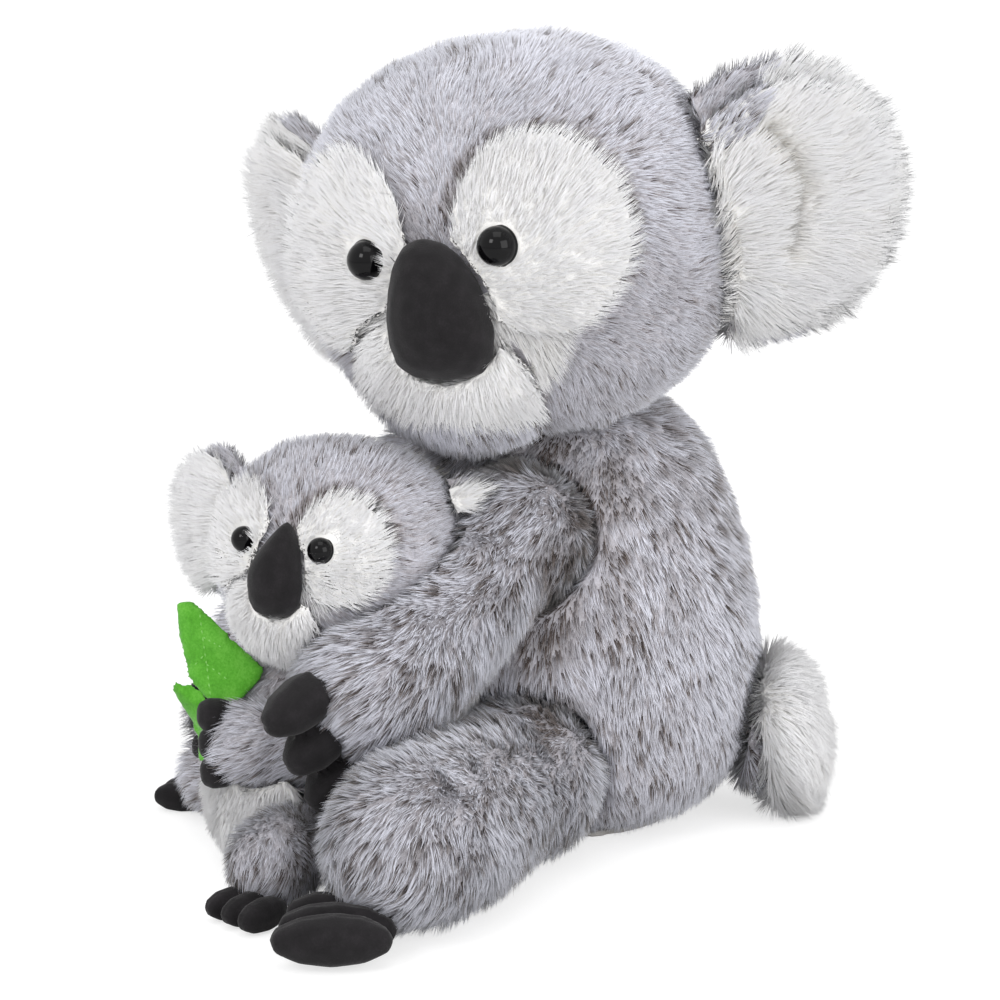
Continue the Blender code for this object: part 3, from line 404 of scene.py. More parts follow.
def copy_solid(node, name):
    """A free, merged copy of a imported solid."""
    source = frame["nodes"][node]
    made = bpy.data.objects.new(name, source.data.copy())
    bpy.context.scene.collection.objects.link(made)
    made.data.materials.clear()
    only(made)
    bpy.ops.object.mode_set(mode="EDIT")
    bpy.ops.mesh.select_all(action="SELECT")
    bpy.ops.mesh.remove_doubles(threshold=0.00002)
    bpy.ops.object.mode_set(mode="OBJECT")
    return made


def centre_of(node):
    """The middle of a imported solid's box."""
    low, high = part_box(node)
    return np.array((low + high) / 2.0)


print("helpers ready")


# %% Filling: a short cloth simulation with pressure
FILLING_PRESSURE = 4.0
FILLING_STEPS = 20


def fill_up(piece, cap):
    """Blows the piece up like a filled bag, and moves no point more than cap metres."""
    before = read_points(piece)
    only(piece)
    cloth = piece.modifiers.new("filling", "CLOTH")
    cloth.settings.quality = 4
    cloth.settings.mass = 0.15
    cloth.settings.use_pressure = True
    cloth.settings.uniform_pressure_force = FILLING_PRESSURE
    cloth.settings.tension_stiffness = 12.0
    cloth.settings.compression_stiffness = 12.0
    cloth.settings.bending_stiffness = 0.4
    cloth.settings.effector_weights.gravity = 0.0
    cloth.collision_settings.use_collision = False
    cloth.point_cache.frame_start = 1
    cloth.point_cache.frame_end = FILLING_STEPS
    for moment in range(1, FILLING_STEPS + 1):
        bpy.context.scene.frame_set(moment)
    bpy.ops.object.modifier_apply(modifier=cloth.name)
    bpy.context.scene.frame_set(1)
    move = read_points(piece) - before
    size = np.linalg.norm(move, axis=1, keepdims=True)
    write_points(piece, before + move * np.minimum(1.0, cap / np.maximum(size, 1e-9)))


skins = {}


def sewn_skin(name, node, finish, slot, voxel, smooth, shrink, fill, puff=0.0):
    """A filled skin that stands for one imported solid. Voxel, shrink and puff are in metres."""
    piece = copy_solid(node, name)
    with_modifier(piece, "REMESH", mode="VOXEL", voxel_size=voxel)
    with_modifier(piece, "SMOOTH", factor=0.5, iterations=smooth)
    if shrink > 0.0:
        with_modifier(piece, "DISPLACE", strength=-shrink, mid_level=0.0)
    if puff > 0.0:
        fill_up(piece, puff)
    only(piece)
    bpy.ops.object.shade_smooth()
    piece.data.materials.append(finish)
    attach(piece, frame["nodes"][node]["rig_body"])
    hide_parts(node)
    skins[node] = piece
    return piece


# %% Skins of the grey plush
GREY = ("frosted_grey_plush", grey_backing)
WHITE = ("white_plush", white_backing)


def plush_skin(node, plush, **cut):
    """The backing of one plush piece, in the plush's own finish."""
    sewn_skin(node + "_skin", node, plush[1], plush[0], **cut)


for node in ("mother_body", "mother_head"):
    plush_skin(node, GREY, voxel=0.004, smooth=12, shrink=0.002, fill=0.85, puff=0.0025)
for node in ("mother_arm_left", "mother_arm_right", "mother_leg_left", "mother_leg_right"):
    plush_skin(node, GREY, voxel=0.0036, smooth=7, shrink=0.002, fill=0.8, puff=0.002)
for node in ("mother_ear_left", "mother_ear_right", "mother_tail"):
    plush_skin(node, GREY, voxel=0.003, smooth=6, shrink=0.002, fill=0.5)
for node in ("baby_body", "baby_head"):
    plush_skin(node, GREY, voxel=0.0028, smooth=8, shrink=0.0015, fill=0.85, puff=0.0015)
for node in (
    "baby_arm_left", "baby_arm_right", "baby_leg_left", "baby_leg_right", "baby_ear_left", "baby_ear_right",
):
    plush_skin(node, GREY, voxel=0.0024, smooth=4, shrink=0.0012, fill=0.7)
print("grey skins:", len(skins))

# %% Skins of the white plush
for node in (
    "mother_eye_patch_left", "mother_eye_patch_right", "mother_muzzle", "mother_bib", "mother_tail_tuft",
):
    plush_skin(node, WHITE, voxel=0.0021, smooth=6, shrink=0.001, fill=0.4)
for node in ("mother_ear_lining_left", "mother_ear_lining_right"):
    plush_skin(node, WHITE, voxel=0.0026, smooth=6, shrink=0.0015, fill=0.4)
for node in (
    "baby_eye_patch_left", "baby_eye_patch_right", "baby_muzzle", "baby_ear_lining_left",
    "baby_ear_lining_right", "baby_belly_patch",
):
    plush_skin(node, WHITE, voxel=0.0014, smooth=4, shrink=0.0005, fill=0.4)
print("skins so far:", len(skins))

# %% Underside panel and bean pouch
sewn_skin(
    "seat_panel_cloth", "seat_panel", calico, "calico", voxel=0.0012, smooth=3, shrink=0.0001, fill=0.3,
)
sewn_skin(
    "bean_pouch_cloth", "bean_pouch", calico, "calico", voxel=0.0025, smooth=8, shrink=0.001, fill=0.7,
)
print("seat and pouch made")

# %% [markdown]
# ## Suede noses, hands and feet
#
# Noses and claws are charcoal suede, stuffed hard, so they stay smooth and matt beside the pile.
# Each claw is cut from two panels, and their seam runs along its ridge as a fine crease.
# The crease is pressed in after the remesh, along a plane through each claw.

# %% Where each claw lies
CLAW_FAN = 10.0
# For each set: bearing and dip of its middle claw in degrees, spacing of the claws,
# and how far the solid's middle lies ahead of, aside from and above the middle claw's own middle.
CLAW_SETS = {
    "mother_hand_claws_left": (-65.0, -31.0, 0.0160, 0.0041, 0.0000, 0.0007),
    "mother_hand_claws_right": (-60.0, -40.0, 0.0160, 0.0074, -0.0029, 0.0031),
    "mother_foot_claws_left": (-116.0, 0.0, 0.0107, 0.0025, 0.0012, 0.0000),
    "mother_foot_claws_right": (-128.0, 0.0, 0.0107, 0.0028, 0.0008, 0.0000),
    "baby_hand_claws_left": (-104.0, -2.0, 0.0092, 0.0036, 0.0001, -0.0006),
    "baby_hand_claws_right": (-72.0, -2.0, 0.0092, 0.0038, 0.0001, 0.0007),
    "baby_foot_claws_left": (-66.0, 0.0, 0.0078, 0.0010, -0.0006, 0.0007),
    "baby_foot_claws_right": (-128.0, 0.0, 0.0078, 0.0015, 0.0007, 0.0007),
}


def heading(bearing, dip):
    """The direction at this angle from +X and this dip, in degrees."""
    bearing, dip = math.radians(bearing), math.radians(dip)
    return np.array((math.cos(bearing) * math.cos(dip), math.sin(bearing) * math.cos(dip), math.sin(dip)))


def claws_of(node):
    """Middle, pointing direction and up direction of the three claws. A hand's fan stands, a foot's lies."""
    bearing, dip, spacing, before, aside, above = CLAW_SETS[node]
    hand = "_hand_" in node
    ahead = heading(bearing, dip)
    rise = heading(bearing - 90.0, 0.0) if hand else np.array((0.0, 0.0, 1.0))
    row_way = np.cross(rise, ahead)
    middle = centre_of(node) - ahead * before + row_way * aside - rise * above
    rows = []
    for k in (-1, 0, 1):
        turn = k * CLAW_FAN
        way = heading(bearing, dip + turn) if hand else heading(bearing + turn, dip)
        rows.append((middle + row_way * spacing * k, way, rise))
    return rows


print("claw sets:", len(CLAW_SETS))


# %% Claw skins with their ridge seams
VALLEY_DEPTH_SHARE = 3.2
VALLEY_WIDTH_SHARE = 1.3
FULLER_BY = 0.0019


def press_seams(piece, rows, width, depth):
    """Presses a crease along the ridge of each claw, and a deeper valley between neighbours."""
    points = read_points(piece)
    normals = read_normals(piece)
    middles = np.array([row[0] for row in rows])
    nearest = np.linalg.norm(points[:, None, :] - middles[None, :, :], axis=2).argmin(axis=1)
    move = np.zeros(len(points))
    for k, (_, ahead, rise) in enumerate(rows):
        off = (points - middles[k]) @ np.cross(ahead, rise)
        move += np.where(nearest == k, depth * np.exp(-(off / width) ** 2), 0.0)
        if k + 1 < len(rows):
            between = (middles[k] + middles[k + 1]) / 2.0
            shared = unit((ahead + rows[k + 1][1])[None, :])[0]
            off = (points - between) @ np.cross(shared, rise)
            move += VALLEY_DEPTH_SHARE * depth * np.exp(-(off / (VALLEY_WIDTH_SHARE * width)) ** 2)
    write_points(piece, points - normals * move[:, None])


def pull_back(piece, row, share, shift):
    """Shortens the front half of a set of claws by a share of its length, and shifts the whole set."""
    points = read_points(piece)
    middle, ahead, _ = row
    reach = np.maximum((points - middle) @ ahead, 0.0)
    write_points(piece, points - ahead * (reach * share)[:, None] + np.array(shift))


def claw_skin(node, voxel, smooth, puff, seam_width, seam_depth):
    """One set of suede claws with its seams, and where its claws lie."""
    piece = sewn_skin(
        node + "_suede", node, suede, "charcoal_suede", voxel=voxel, smooth=smooth, shrink=0.0002, fill=0.9,
        puff=puff,
    )
    rows = claws_of(node)
    press_seams(piece, rows, seam_width, seam_depth)
    # What the photograph hardly shows is kept short, and the baby's left hand is a little fuller.
    if node == "mother_foot_claws_right":
        pull_back(piece, rows[1], 0.45, (-0.002, 0.007, 0.0))
    if node == "baby_hand_claws_left":
        write_points(piece, read_points(piece) + read_normals(piece) * FULLER_BY)
        pull_back(piece, rows[1], 0.4, (0.0, 0.0, 0.0))
    if node == "baby_hand_claws_right":
        pull_back(piece, rows[1], 0.5, (0.0, 0.001, 0.0))


for node in CLAW_SETS:
    if node.startswith("mother"):
        claw_skin(node, voxel=0.0013, smooth=6, puff=0.0006, seam_width=0.0013, seam_depth=0.0007)
    else:
        claw_skin(node, voxel=0.0009, smooth=4, puff=0.0, seam_width=0.0008, seam_depth=0.0004)
print("claw skins made")

# %% Noses
JOWL_SHARE = 0.45


def shape_nose(nose, brow_share, slant):
    """Widens a nose above and below its middle by shares of its width, and leans its top over.

    Where the share is below zero, the nose gets narrower there.
    """
    points = read_points(nose)
    low, high = points.min(axis=0), points.max(axis=0)
    middle = (low + high) / 2.0
    rise = (points[:, 2] - middle[2]) / (high[2] - middle[2])
    lift, drop = np.clip(rise, 0.0, 1.0), np.clip(-rise, 0.0, 1.0)
    across = np.array(right_of_camera)
    off = (points - middle) @ across
    move = off * (brow_share * lift ** 2 + JOWL_SHARE * drop ** 4) + slant * lift
    write_points(nose, points + across[None, :] * move[:, None])


mother_nose = sewn_skin(
    "mother_nose_suede", "mother_nose", suede, "charcoal_suede", voxel=0.0011, smooth=14, shrink=0.0,
    fill=0.9, puff=0.0008,
)
baby_nose = sewn_skin(
    "baby_nose_suede", "baby_nose", suede, "charcoal_suede", voxel=0.0008, smooth=10, shrink=0.0,
    fill=0.9, puff=0.0004,
)
shape_nose(mother_nose, brow_share=0.28, slant=0.0)
shape_nose(baby_nose, brow_share=-0.35, slant=0.0035)
print("noses made")

# %% [markdown]
# ## Eyes
#
# Each eye is a polished black plastic dome on a flat flange, held by a washer inside the head.
# A sphere is added at the eye's place, its back half is drawn flat, and a thin rim is left around it,
# because the light runs round that rim and makes the eye look set in.


# %% Domes with a rim
MOTHER_DOME_RADIUS = 0.0070
BABY_DOME_RADIUS = 0.0046
DOME_REACH = 0.98
RIM_DROP = 0.02
RIM_SWELL = 1.08
BACK_FLATNESS = 0.35


def eye_dome(node, washer, radius):
    """Adds a glossy dome that looks away from its washer, and says where its middle is."""
    low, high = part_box(node)
    back_low, back_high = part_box(washer)
    middle = (low + high) / 2.0
    ahead = (middle - (back_low + back_high) / 2.0).normalized()
    front = max((Vector(p) - middle).dot(ahead) for p in read_points(frame["nodes"][node]))
    centre = middle + ahead * (front - radius * DOME_REACH)
    turn = ahead.to_track_quat("Z", "Y").to_matrix().to_4x4()
    bpy.ops.object.select_all(action="DESELECT")
    bpy.ops.mesh.primitive_uv_sphere_add(segments=48, ring_count=24, radius=radius)
    dome = bpy.context.active_object
    dome.name = node + "_dome"
    bpy.ops.object.mode_set(mode="EDIT")
    shape = bmesh.from_edit_mesh(dome.data)
    for point in shape.verts:
        if point.co.z < -0.05 * radius:
            point.co.z = point.co.z * BACK_FLATNESS - RIM_DROP * radius
            point.co.x *= RIM_SWELL
            point.co.y *= RIM_SWELL
    bmesh.update_edit_mesh(dome.data)
    bpy.ops.object.mode_set(mode="OBJECT")
    dome.data.transform(Matrix.Translation(centre) @ turn)
    only(dome)
    bpy.ops.object.shade_smooth()
    dome.data.materials.append(black_plastic)
    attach(dome, frame["nodes"][node]["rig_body"])
    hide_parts(node)
    return centre


eyes = {}
for node, washer, radius in (
    ("mother_eye_left", "mother_eye_washer_left", MOTHER_DOME_RADIUS),
    ("mother_eye_right", "mother_eye_washer_right", MOTHER_DOME_RADIUS),
    ("baby_eye_left", "baby_eye_washer_left", BABY_DOME_RADIUS),
    ("baby_eye_right", "baby_eye_washer_right", BABY_DOME_RADIUS),
):
    eyes[node] = (eye_dome(node, washer, radius), radius)
    disc = frame["nodes"][washer]
    disc.data.materials.clear()
    disc.data.materials.append(washer_plastic)
print("eyes:", {name: [round(c, 3) for c in row[0]] for name, row in eyes.items()})

# %% [markdown]
# ## Leaves
#
# The leaf the baby holds is two layers of short green plush, sewn together and barely filled.
# Dotted stitches mark a midrib and slanted veins. Each stitch is a short dash with pointed ends,
# half sunk in the skin wherever the needle would come up.

# %% Leaf skins, drawn out to their cut outline
EDGE_CAP = 0.009
LEAF_EDGES = {
    "leaf_upper": ((0.0633, -0.1272, -0.1150), (0.0701, -0.1338, -0.1080), (0.0752, -0.1345, -0.1050),
                   (0.0837, -0.1369, -0.1150), (0.0946, -0.1380, -0.1270)),
    "leaf_lower": ((0.0514, -0.1307, None), (0.0582, -0.1353, None), (0.0667, -0.1400, None),
                   (0.0718, -0.1353, None)),
}


def draw_edges(piece, rows):
    """Moves a flat piece's points sideways, so that its edges follow (height, left, right) rows.

    Left and right are places along the camera's right. Where right is None, that edge stays as it is.
    """
    points = read_points(piece)
    sideways = np.array(right_of_camera)
    place = points @ sideways
    heights = points[:, 2]
    steps = np.linspace(heights.min(), heights.max(), 24)
    span = (steps[1] - steps[0]) * 0.75
    lows = np.array([place[np.abs(heights - h) < span].min() for h in steps])
    highs = np.array([place[np.abs(heights - h) < span].max() for h in steps])
    at = [row[0] for row in rows]
    left = np.interp(steps, at, [row[1] for row in rows])
    right = np.array([
        np.interp(h, at, [row[2] if row[2] else highs[k] for row in rows]) for k, h in enumerate(steps)
    ])
    low, high = np.interp(heights, steps, lows), np.interp(heights, steps, highs)
    new_low, new_high = np.interp(heights, steps, left), np.interp(heights, steps, right)
    share = (place - low) / np.maximum(high - low, 0.001)
    move = np.clip(new_low + share * (new_high - new_low) - place, -EDGE_CAP, EDGE_CAP)
    write_points(piece, points + sideways[None, :] * move[:, None])
    with_modifier(piece, "SMOOTH", factor=0.5, iterations=3)


for node, rows in LEAF_EDGES.items():
    sewn_skin(
        node + "_plush", node, leaf_plush, "leaf_green_plush", voxel=0.0008, smooth=3, shrink=0.0, fill=0.3,
        puff=0.0006,
    )
    draw_edges(skins[node], rows)
print("leaves made")


# %% Dotted veins
def stitch_places(piece, lines, pitch):
    """Places along lines seen from the front, moved onto the surface: middle, outward and along."""
    shape = BVHTree.FromPolygons(
        [v.co for v in piece.data.vertices], [tuple(face.vertices) for face in piece.data.polygons])
    found = []
    for start, end in lines:
        start, end = Vector(start), Vector(end)
        count = int((end - start).length / pitch)
        for k in range(count):
            origin = start + (end - start) * ((k + 0.5) / count) + to_camera * 0.05
            place, normal, _, _ = shape.ray_cast(origin, -to_camera)
            if place is not None:
                found.append((place, normal, (end - start).normalized()))
    return found


VEINS = (
    ((0.0268, -0.1444, 0.0930), (0.0390, -0.1440, 0.0650)),
    ((0.0300, -0.1445, 0.0850), (0.0400, -0.1400, 0.0830)),
    ((0.0330, -0.1445, 0.0760), (0.0440, -0.1390, 0.0720)),
    ((0.0300, -0.1480, 0.0740), (0.0330, -0.1445, 0.0790)),
)
STITCH_PITCH = 0.0026
STITCH_HALF_LENGTH = 0.0009
STITCH_HALF_WIDTH = 0.0003
STITCH_DEPTH = 0.0004
STITCH_FACES = (
    (0, 2, 4), (2, 1, 4), (1, 3, 4), (3, 0, 4), (2, 0, 5), (1, 2, 5), (3, 1, 5), (0, 3, 5),
)
stitches = stitch_places(skins["leaf_upper"], VEINS, STITCH_PITCH)
points, faces = [], []
for place, normal, way in stitches:
    across = normal.cross(way).normalized()
    first = len(points)
    points += [
        place + way * STITCH_HALF_LENGTH, place - way * STITCH_HALF_LENGTH,
        place + across * STITCH_HALF_WIDTH, place - across * STITCH_HALF_WIDTH,
        place + normal * STITCH_HALF_WIDTH, place - normal * STITCH_DEPTH,
    ]
    faces += [tuple(first + corner for corner in face) for face in STITCH_FACES]
veins_mesh = bpy.data.meshes.new("leaf_veins")
veins_mesh.from_pydata([tuple(p) for p in points], [], faces)
veins_mesh.materials.append(leaf_thread)
veins = bpy.data.objects.new("leaf_veins", veins_mesh)
bpy.context.scene.collection.objects.link(veins)
only(veins)
bpy.ops.object.mode_set(mode="EDIT")
bpy.ops.mesh.select_all(action="SELECT")
bpy.ops.mesh.normals_make_consistent(inside=False)
bpy.ops.object.mode_set(mode="OBJECT")
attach(veins, frame["nodes"]["leaf_upper"]["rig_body"])
print("vein stitches:", len(stitches))


# %% [markdown]
# ## Pile
#
# The hairs are closed spikes with four faces each, so that they stay light even by the hundred thousand.
# Their roots are scattered over a skin, they lean the way the real nap is brushed,
# and neighbours are drawn together into small tufts. The gaps between tufts let the brown roots show.


# %% Noise and scatter
def cloudy(points, size, seed):
    """Smooth noise from 0 to 1, with features about size metres wide."""
    table = np.random.default_rng(seed).random(4096)
    place = points / size
    cell = np.floor(place).astype(np.int64)
    part = place - cell
    part = part * part * (3.0 - 2.0 * part)
    total = np.zeros(len(points))
    for corner in range(8):
        step = np.array([corner & 1, corner >> 1 & 1, corner >> 2 & 1])
        at = cell + step
        key = (at[:, 0] * 73856093 ^ at[:, 1] * 19349663 ^ at[:, 2] * 83492791) & 4095
        total += np.prod(np.where(step == 1, part, 1.0 - part), axis=1) * table[key]
    return total


def scatter(piece, density, rng):
    """Random places on a skin with their normals, density to a square metre."""
    mesh = piece.data
    mesh.calc_loop_triangles()
    corners = np.empty(len(mesh.loop_triangles) * 3, np.int32)
    mesh.loop_triangles.foreach_get("vertices", corners)
    corners = corners.reshape(-1, 3)
    points, normals = read_points(piece), read_normals(piece)
    a, b, c = (points[corners[:, k]] for k in range(3))
    area = np.linalg.norm(np.cross(b - a, c - a), axis=1) / 2.0
    count = int(area.sum() * density)
    chosen = rng.choice(len(area), count, p=area / area.sum())
    first = np.sqrt(rng.random(count))[:, None]
    second = rng.random(count)[:, None]
    weights = (1.0 - first, first * (1.0 - second), first * second)
    roots = sum(w * points[corners[chosen, k]] for k, w in enumerate(weights))
    leans = sum(w * normals[corners[chosen, k]] for k, w in enumerate(weights))
    return roots, unit(leans)


trees = {}
DEEPEST = 0.004


def inside(points, node, margin):
    """True for points inside a skin or nearer to it than margin, or deeper in it than a margin below zero."""
    if node not in trees:
        piece = skins[node]
        piece.data.calc_loop_triangles()
        trees[node] = (
            BVHTree.FromPolygons(
                [v.co for v in piece.data.vertices], [tuple(t.vertices) for t in piece.data.loop_triangles],
            ),
            read_points(piece).min(axis=0), read_points(piece).max(axis=0),
        )
    tree, low, high = trees[node]
    near = np.all((points > low - margin) & (points < high + margin), axis=1)
    result = np.zeros(len(points), bool)
    for k in np.flatnonzero(near):
        place, normal, _, _ = tree.find_nearest(points[k])
        away = Vector(points[k]) - place
        deep = away.dot(normal) < -0.3 * away.length and away.length < DEEPEST
        result[k] = away.length < margin or (deep and away.length > -margin)
    return result


print("noise and scatter ready")

# %% Hair shapes
BASE_ANGLES = (0.0, 2.0 * math.pi / 3.0, 4.0 * math.pi / 3.0)
HAIR_FACES = np.array([[0, 2, 1], [0, 1, 3], [1, 2, 3], [2, 0, 3]])
hair_total = 0


def build_hairs(name, roots, ways, lengths, widths, tones, normals, finish):
    """One mesh of closed spikes, each with its own strip of the OFBake map, lit mostly as its skin is."""
    count = len(roots)
    ahead = unit(ways)
    helper = np.where(np.abs(ahead[:, 2:3]) < 0.9, [[0.0, 0.0, 1.0]], [[1.0, 0.0, 0.0]])
    side = unit(np.cross(ahead, helper))
    other = np.cross(ahead, side)
    points = np.empty((count, 4, 3))
    for k, angle in enumerate(BASE_ANGLES):
        points[:, k] = roots + (side * math.cos(angle) + other * math.sin(angle)) * widths[:, None] / 2.0
    points[:, 3] = roots + ahead * lengths[:, None]
    points[:, :, 2] = np.maximum(points[:, :, 2], 0.0003)
    faces = (np.arange(count)[:, None, None] * 4 + HAIR_FACES[None]).reshape(-1, 3)
    mesh = bpy.data.meshes.new(name)
    mesh.vertices.add(count * 4)
    mesh.vertices.foreach_set("co", points.astype(np.float32).ravel())
    mesh.loops.add(len(faces) * 3)
    mesh.loops.foreach_set("vertex_index", faces.astype(np.int32).ravel())
    mesh.polygons.add(len(faces))
    mesh.polygons.foreach_set("loop_start", np.arange(0, len(faces) * 3, 3, dtype=np.int32))
    mesh.update(calc_edges=True)
    tone = np.clip(tones, 0.02, 0.98)
    across = np.array([-0.01, 0.01, 0.0, 0.0])
    strip = np.empty((count, 4, 2))
    strip[:, :, 0] = tone[:, None] + across[None]
    strip[:, :, 1] = np.array([0.01, 0.01, 0.04, 0.99])[None]
    chart = mesh.uv_layers.new(name="OFBake")
    chart.data.foreach_set("uv", strip.reshape(-1, 2)[faces.ravel()].astype(np.float32).ravel())
    mesh.polygons.foreach_set("use_smooth", np.ones(len(faces), bool))
    middle = points.mean(axis=1, keepdims=True)
    soft = 0.25 * unit((points - middle).reshape(-1, 3)) + np.repeat(normals, 4, axis=0)
    mesh.normals_split_custom_set_from_vertices(unit(soft).tolist())
    mesh.materials.append(finish)
    made = bpy.data.objects.new(name, mesh)
    bpy.context.scene.collection.objects.link(made)
    return made


# %% One coat of pile
# Most of what a patch may say, for pile that says nothing else. Sizes are in metres, lean in radians.
USUAL = dict(margin=0.0005, swirl=0.5, tuft=0.0035, pull=0.4, patchy=0.5, ticks=0.66, width=0.00045)
THIN, WIDEN = ((1.0, 1.0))
EYE_CLEARANCE = 1.12
ROOT_DEPTH = 0.0004
TICK_STRENGTH = 0.8
SWIRL_SIZE = 0.018
LEAN_SIZE = 0.007
LENGTH_SIZE = 0.011
TONE_SIZE = 0.012
REGION_SIZE = 0.016
STREAK_SIZE = 0.0017
STREAK_STEPS = (-0.0011, 0.0, 0.0011)


def coat(name, body, finish, seed, patches):
    """Grows pile on several skins and keeps it as one piece. Each patch says how its nap lies."""
    global hair_total
    rng = np.random.default_rng(seed)
    rows = []
    for told in patches:
        patch = dict(USUAL, **told)
        roots, normals = scatter(skins[patch["on"]], patch["density"] * THIN, rng)
        keep = np.ones(len(roots), bool)
        for entry in patch.get("clear", ()):
            node, margin = entry if isinstance(entry, tuple) else (entry, patch["margin"])
            keep &= ~inside(roots, node, margin)
        for eye in eyes.values():
            keep &= np.linalg.norm(roots - np.array(eye[0]), axis=1) > eye[1] * EYE_CLEARANCE
        if "only" in patch:
            keep &= patch["only"](roots, normals)
        roots, normals = roots[keep], normals[keep]
        if not len(roots):
            continue
        flow = patch["comb"](roots)
        flow = unit(flow - normals * np.sum(flow * normals, axis=1, keepdims=True))
        swirl = (cloudy(roots, SWIRL_SIZE, seed + 1) - 0.5) * 2.0 * patch["swirl"]
        swirl += rng.normal(0.0, 0.14, len(roots))
        flow = flow * np.cos(swirl)[:, None] + np.cross(normals, flow) * np.sin(swirl)[:, None]
        lean = patch["lean"] + (cloudy(roots, LEAN_SIZE, seed + 2) - 0.5) * 0.6
        lean += rng.normal(0.0, 0.1, len(roots))
        ways = normals * np.cos(lean)[:, None] + flow * np.sin(lean)[:, None]
        lengths = patch["length"] * (0.78 + 0.44 * rng.random(len(roots)))
        lengths *= 0.8 + 0.4 * cloudy(roots, LENGTH_SIZE, seed + 3)
        tips = roots + ways * lengths[:, None]
        tufts = int(len(roots) / (patch["density"] * THIN) / patch["tuft"] ** 2)
        heads = rng.choice(len(roots), min(len(roots), max(1, tufts)), replace=False)
        finder = KDTree(len(heads))
        for k, head in enumerate(heads):
            finder.insert(roots[head], k)
        finder.balance()
        group = np.array([finder.find(root)[1] for root in roots])
        pull = patch["pull"] * (0.6 + 0.8 * rng.random(len(roots)))[:, None]
        tips += (roots[heads[group]] + ways[heads[group]] * patch["length"] - tips) * pull
        tuft_tone = rng.random(len(heads))[group]
        tones = patch["tone"] + patch["patchy"] * (cloudy(roots, TONE_SIZE, seed + 4) - 0.5)
        tones += 0.2 * (tuft_tone - 0.5) + rng.normal(0.0, 0.08, len(roots))
        region = cloudy(roots, REGION_SIZE, seed + 5) - 0.5
        seen = roots + ways * lengths[:, None] * 0.6
        streak = sum(cloudy(seen + flow * step, STREAK_SIZE, seed + 6) for step in STREAK_STEPS) / 3.0
        tones += TICK_STRENGTH * (streak + 0.22 * region > patch["ticks"])
        # Some tints are painted shade: down the ear crease, lower on the head and along the fold.
        if "tint" in patch:
            tones += patch["tint"](roots)
        ways = tips - roots
        widths = patch["width"] * WIDEN * (0.7 + 0.6 * rng.random(len(roots)))
        sunk = roots - normals * ROOT_DEPTH
        rows.append((sunk, ways, np.linalg.norm(ways, axis=1), widths, tones, normals))
    joined = [np.concatenate(part) for part in zip(*rows)]
    made = build_hairs(name, *joined, finish)
    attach(made, body)
    hair_total += len(joined[0])
    print(name, "hairs:", len(joined[0]))


# %% Which way the nap lies
def away_from(place, extra=(0.0, 0.0, 0.0)):
    """Nap that runs away from a place, with a steady push added."""
    return lambda points: unit(points - np.array(place)) + np.array(extra)


def towards(place, extra=(0.0, 0.0, 0.0)):
    """Nap that runs towards a place."""
    return lambda points: unit(np.array(place) - points) + np.array(extra)


def along(direction):
    """Nap that runs one way."""
    return lambda points: np.tile(np.array(direction, float), (len(points), 1))


head_back = np.array((-0.75, 0.66, 0.0))
nose_place = centre_of("mother_nose")
baby_nose_place = centre_of("baby_nose")
print("nose at", [round(float(c), 3) for c in nose_place])

# %% Pile of the mother's head
MOUTH_REACH = 0.043
CHIN_HEIGHT = 0.0165
BROW_REACH = 0.0072
MOTHER_PATCHES = ("mother_eye_patch_left", "mother_eye_patch_right")
MOTHER_FACE = (*MOTHER_PATCHES, "mother_muzzle")
centre_head = centre_of("mother_head")
forward_head = nose_place - centre_head
chin_line = read_points(skins["mother_muzzle"])[:, 2].min() + CHIN_HEIGHT


def seam_fringe(points, patches, reach):
    """Brown for hairs beside the upper edge of the eye patches, where the seam parts the pile."""
    tone = np.zeros(len(points))
    for node in patches:
        strength = 0.85 if node.endswith("left") else 0.3
        near = inside(points, node, reach) & (points[:, 2] > centre_of(node)[2] + 0.5 * reach)
        tone += strength * near * (cloudy(points, 0.004, 91) > 0.34)
    return tone


def brow(points):
    """The fringe of the mother's two patches."""
    return seam_fringe(points, MOTHER_PATCHES, BROW_REACH)


def painted_shade_below(points):
    """Painted light and shade: paler over the forehead, where the light falls, and browner towards the cheeks
    and chin.
    """
    return 0.35 * np.clip((centre_head[2] + 0.01 - points[:, 2]) / 0.05, -0.35, 0.5)


def in_front(points):
    """True for the face half of the head."""
    return (points - centre_head) @ forward_head >= 0.0


def around_mouth(points, nose, reach):
    """True for points near a nose and below its top, where the plush is white."""
    return (np.linalg.norm(points - nose, axis=1) < reach) & (points[:, 2] < nose[2] + 0.15 * reach)


def white_round_mouth(points):
    """True for the white part of the head round the mother's mouth; the underside of the chin is grey."""
    return around_mouth(points, nose_place, MOUTH_REACH) & (points[:, 2] > chin_line)


# The tint gives the brown fringe at the patches, and painted light and shade from forehead to chin.
head_patch = dict(
    on="mother_head", length=0.0054, lean=1.0, tone=0.1, patchy=0.25, swirl=0.7, tuft=0.002, width=0.00042,
    pull=0.25, ticks=0.7,
    clear=(*MOTHER_FACE, "mother_nose", "mother_body", "mother_ear_left", "mother_ear_right"),
    comb=away_from(nose_place, head_back * 0.6 + np.array((0.0, 0.0, -0.35))),
    tint=lambda p: brow(p) + painted_shade_below(p),
)
coat("mother_head_pile_front", "head", grey_pile, 11, [
    dict(head_patch, density=1.14e6, only=lambda p, n: in_front(p) & ~white_round_mouth(p)),
    dict(head_patch, on="mother_muzzle", density=1.4e6, length=0.007, clear=("mother_head", "mother_nose"),
         comb=away_from(nose_place, (0.0, 0.0, -0.5)), tint=brow, only=lambda p, n: p[:, 2] < chin_line),
])
coat("mother_head_pile_back", "head", grey_pile, 12, [
    dict(head_patch, density=0.52e6, width=0.00055, only=lambda p, n: ~in_front(p)),
])

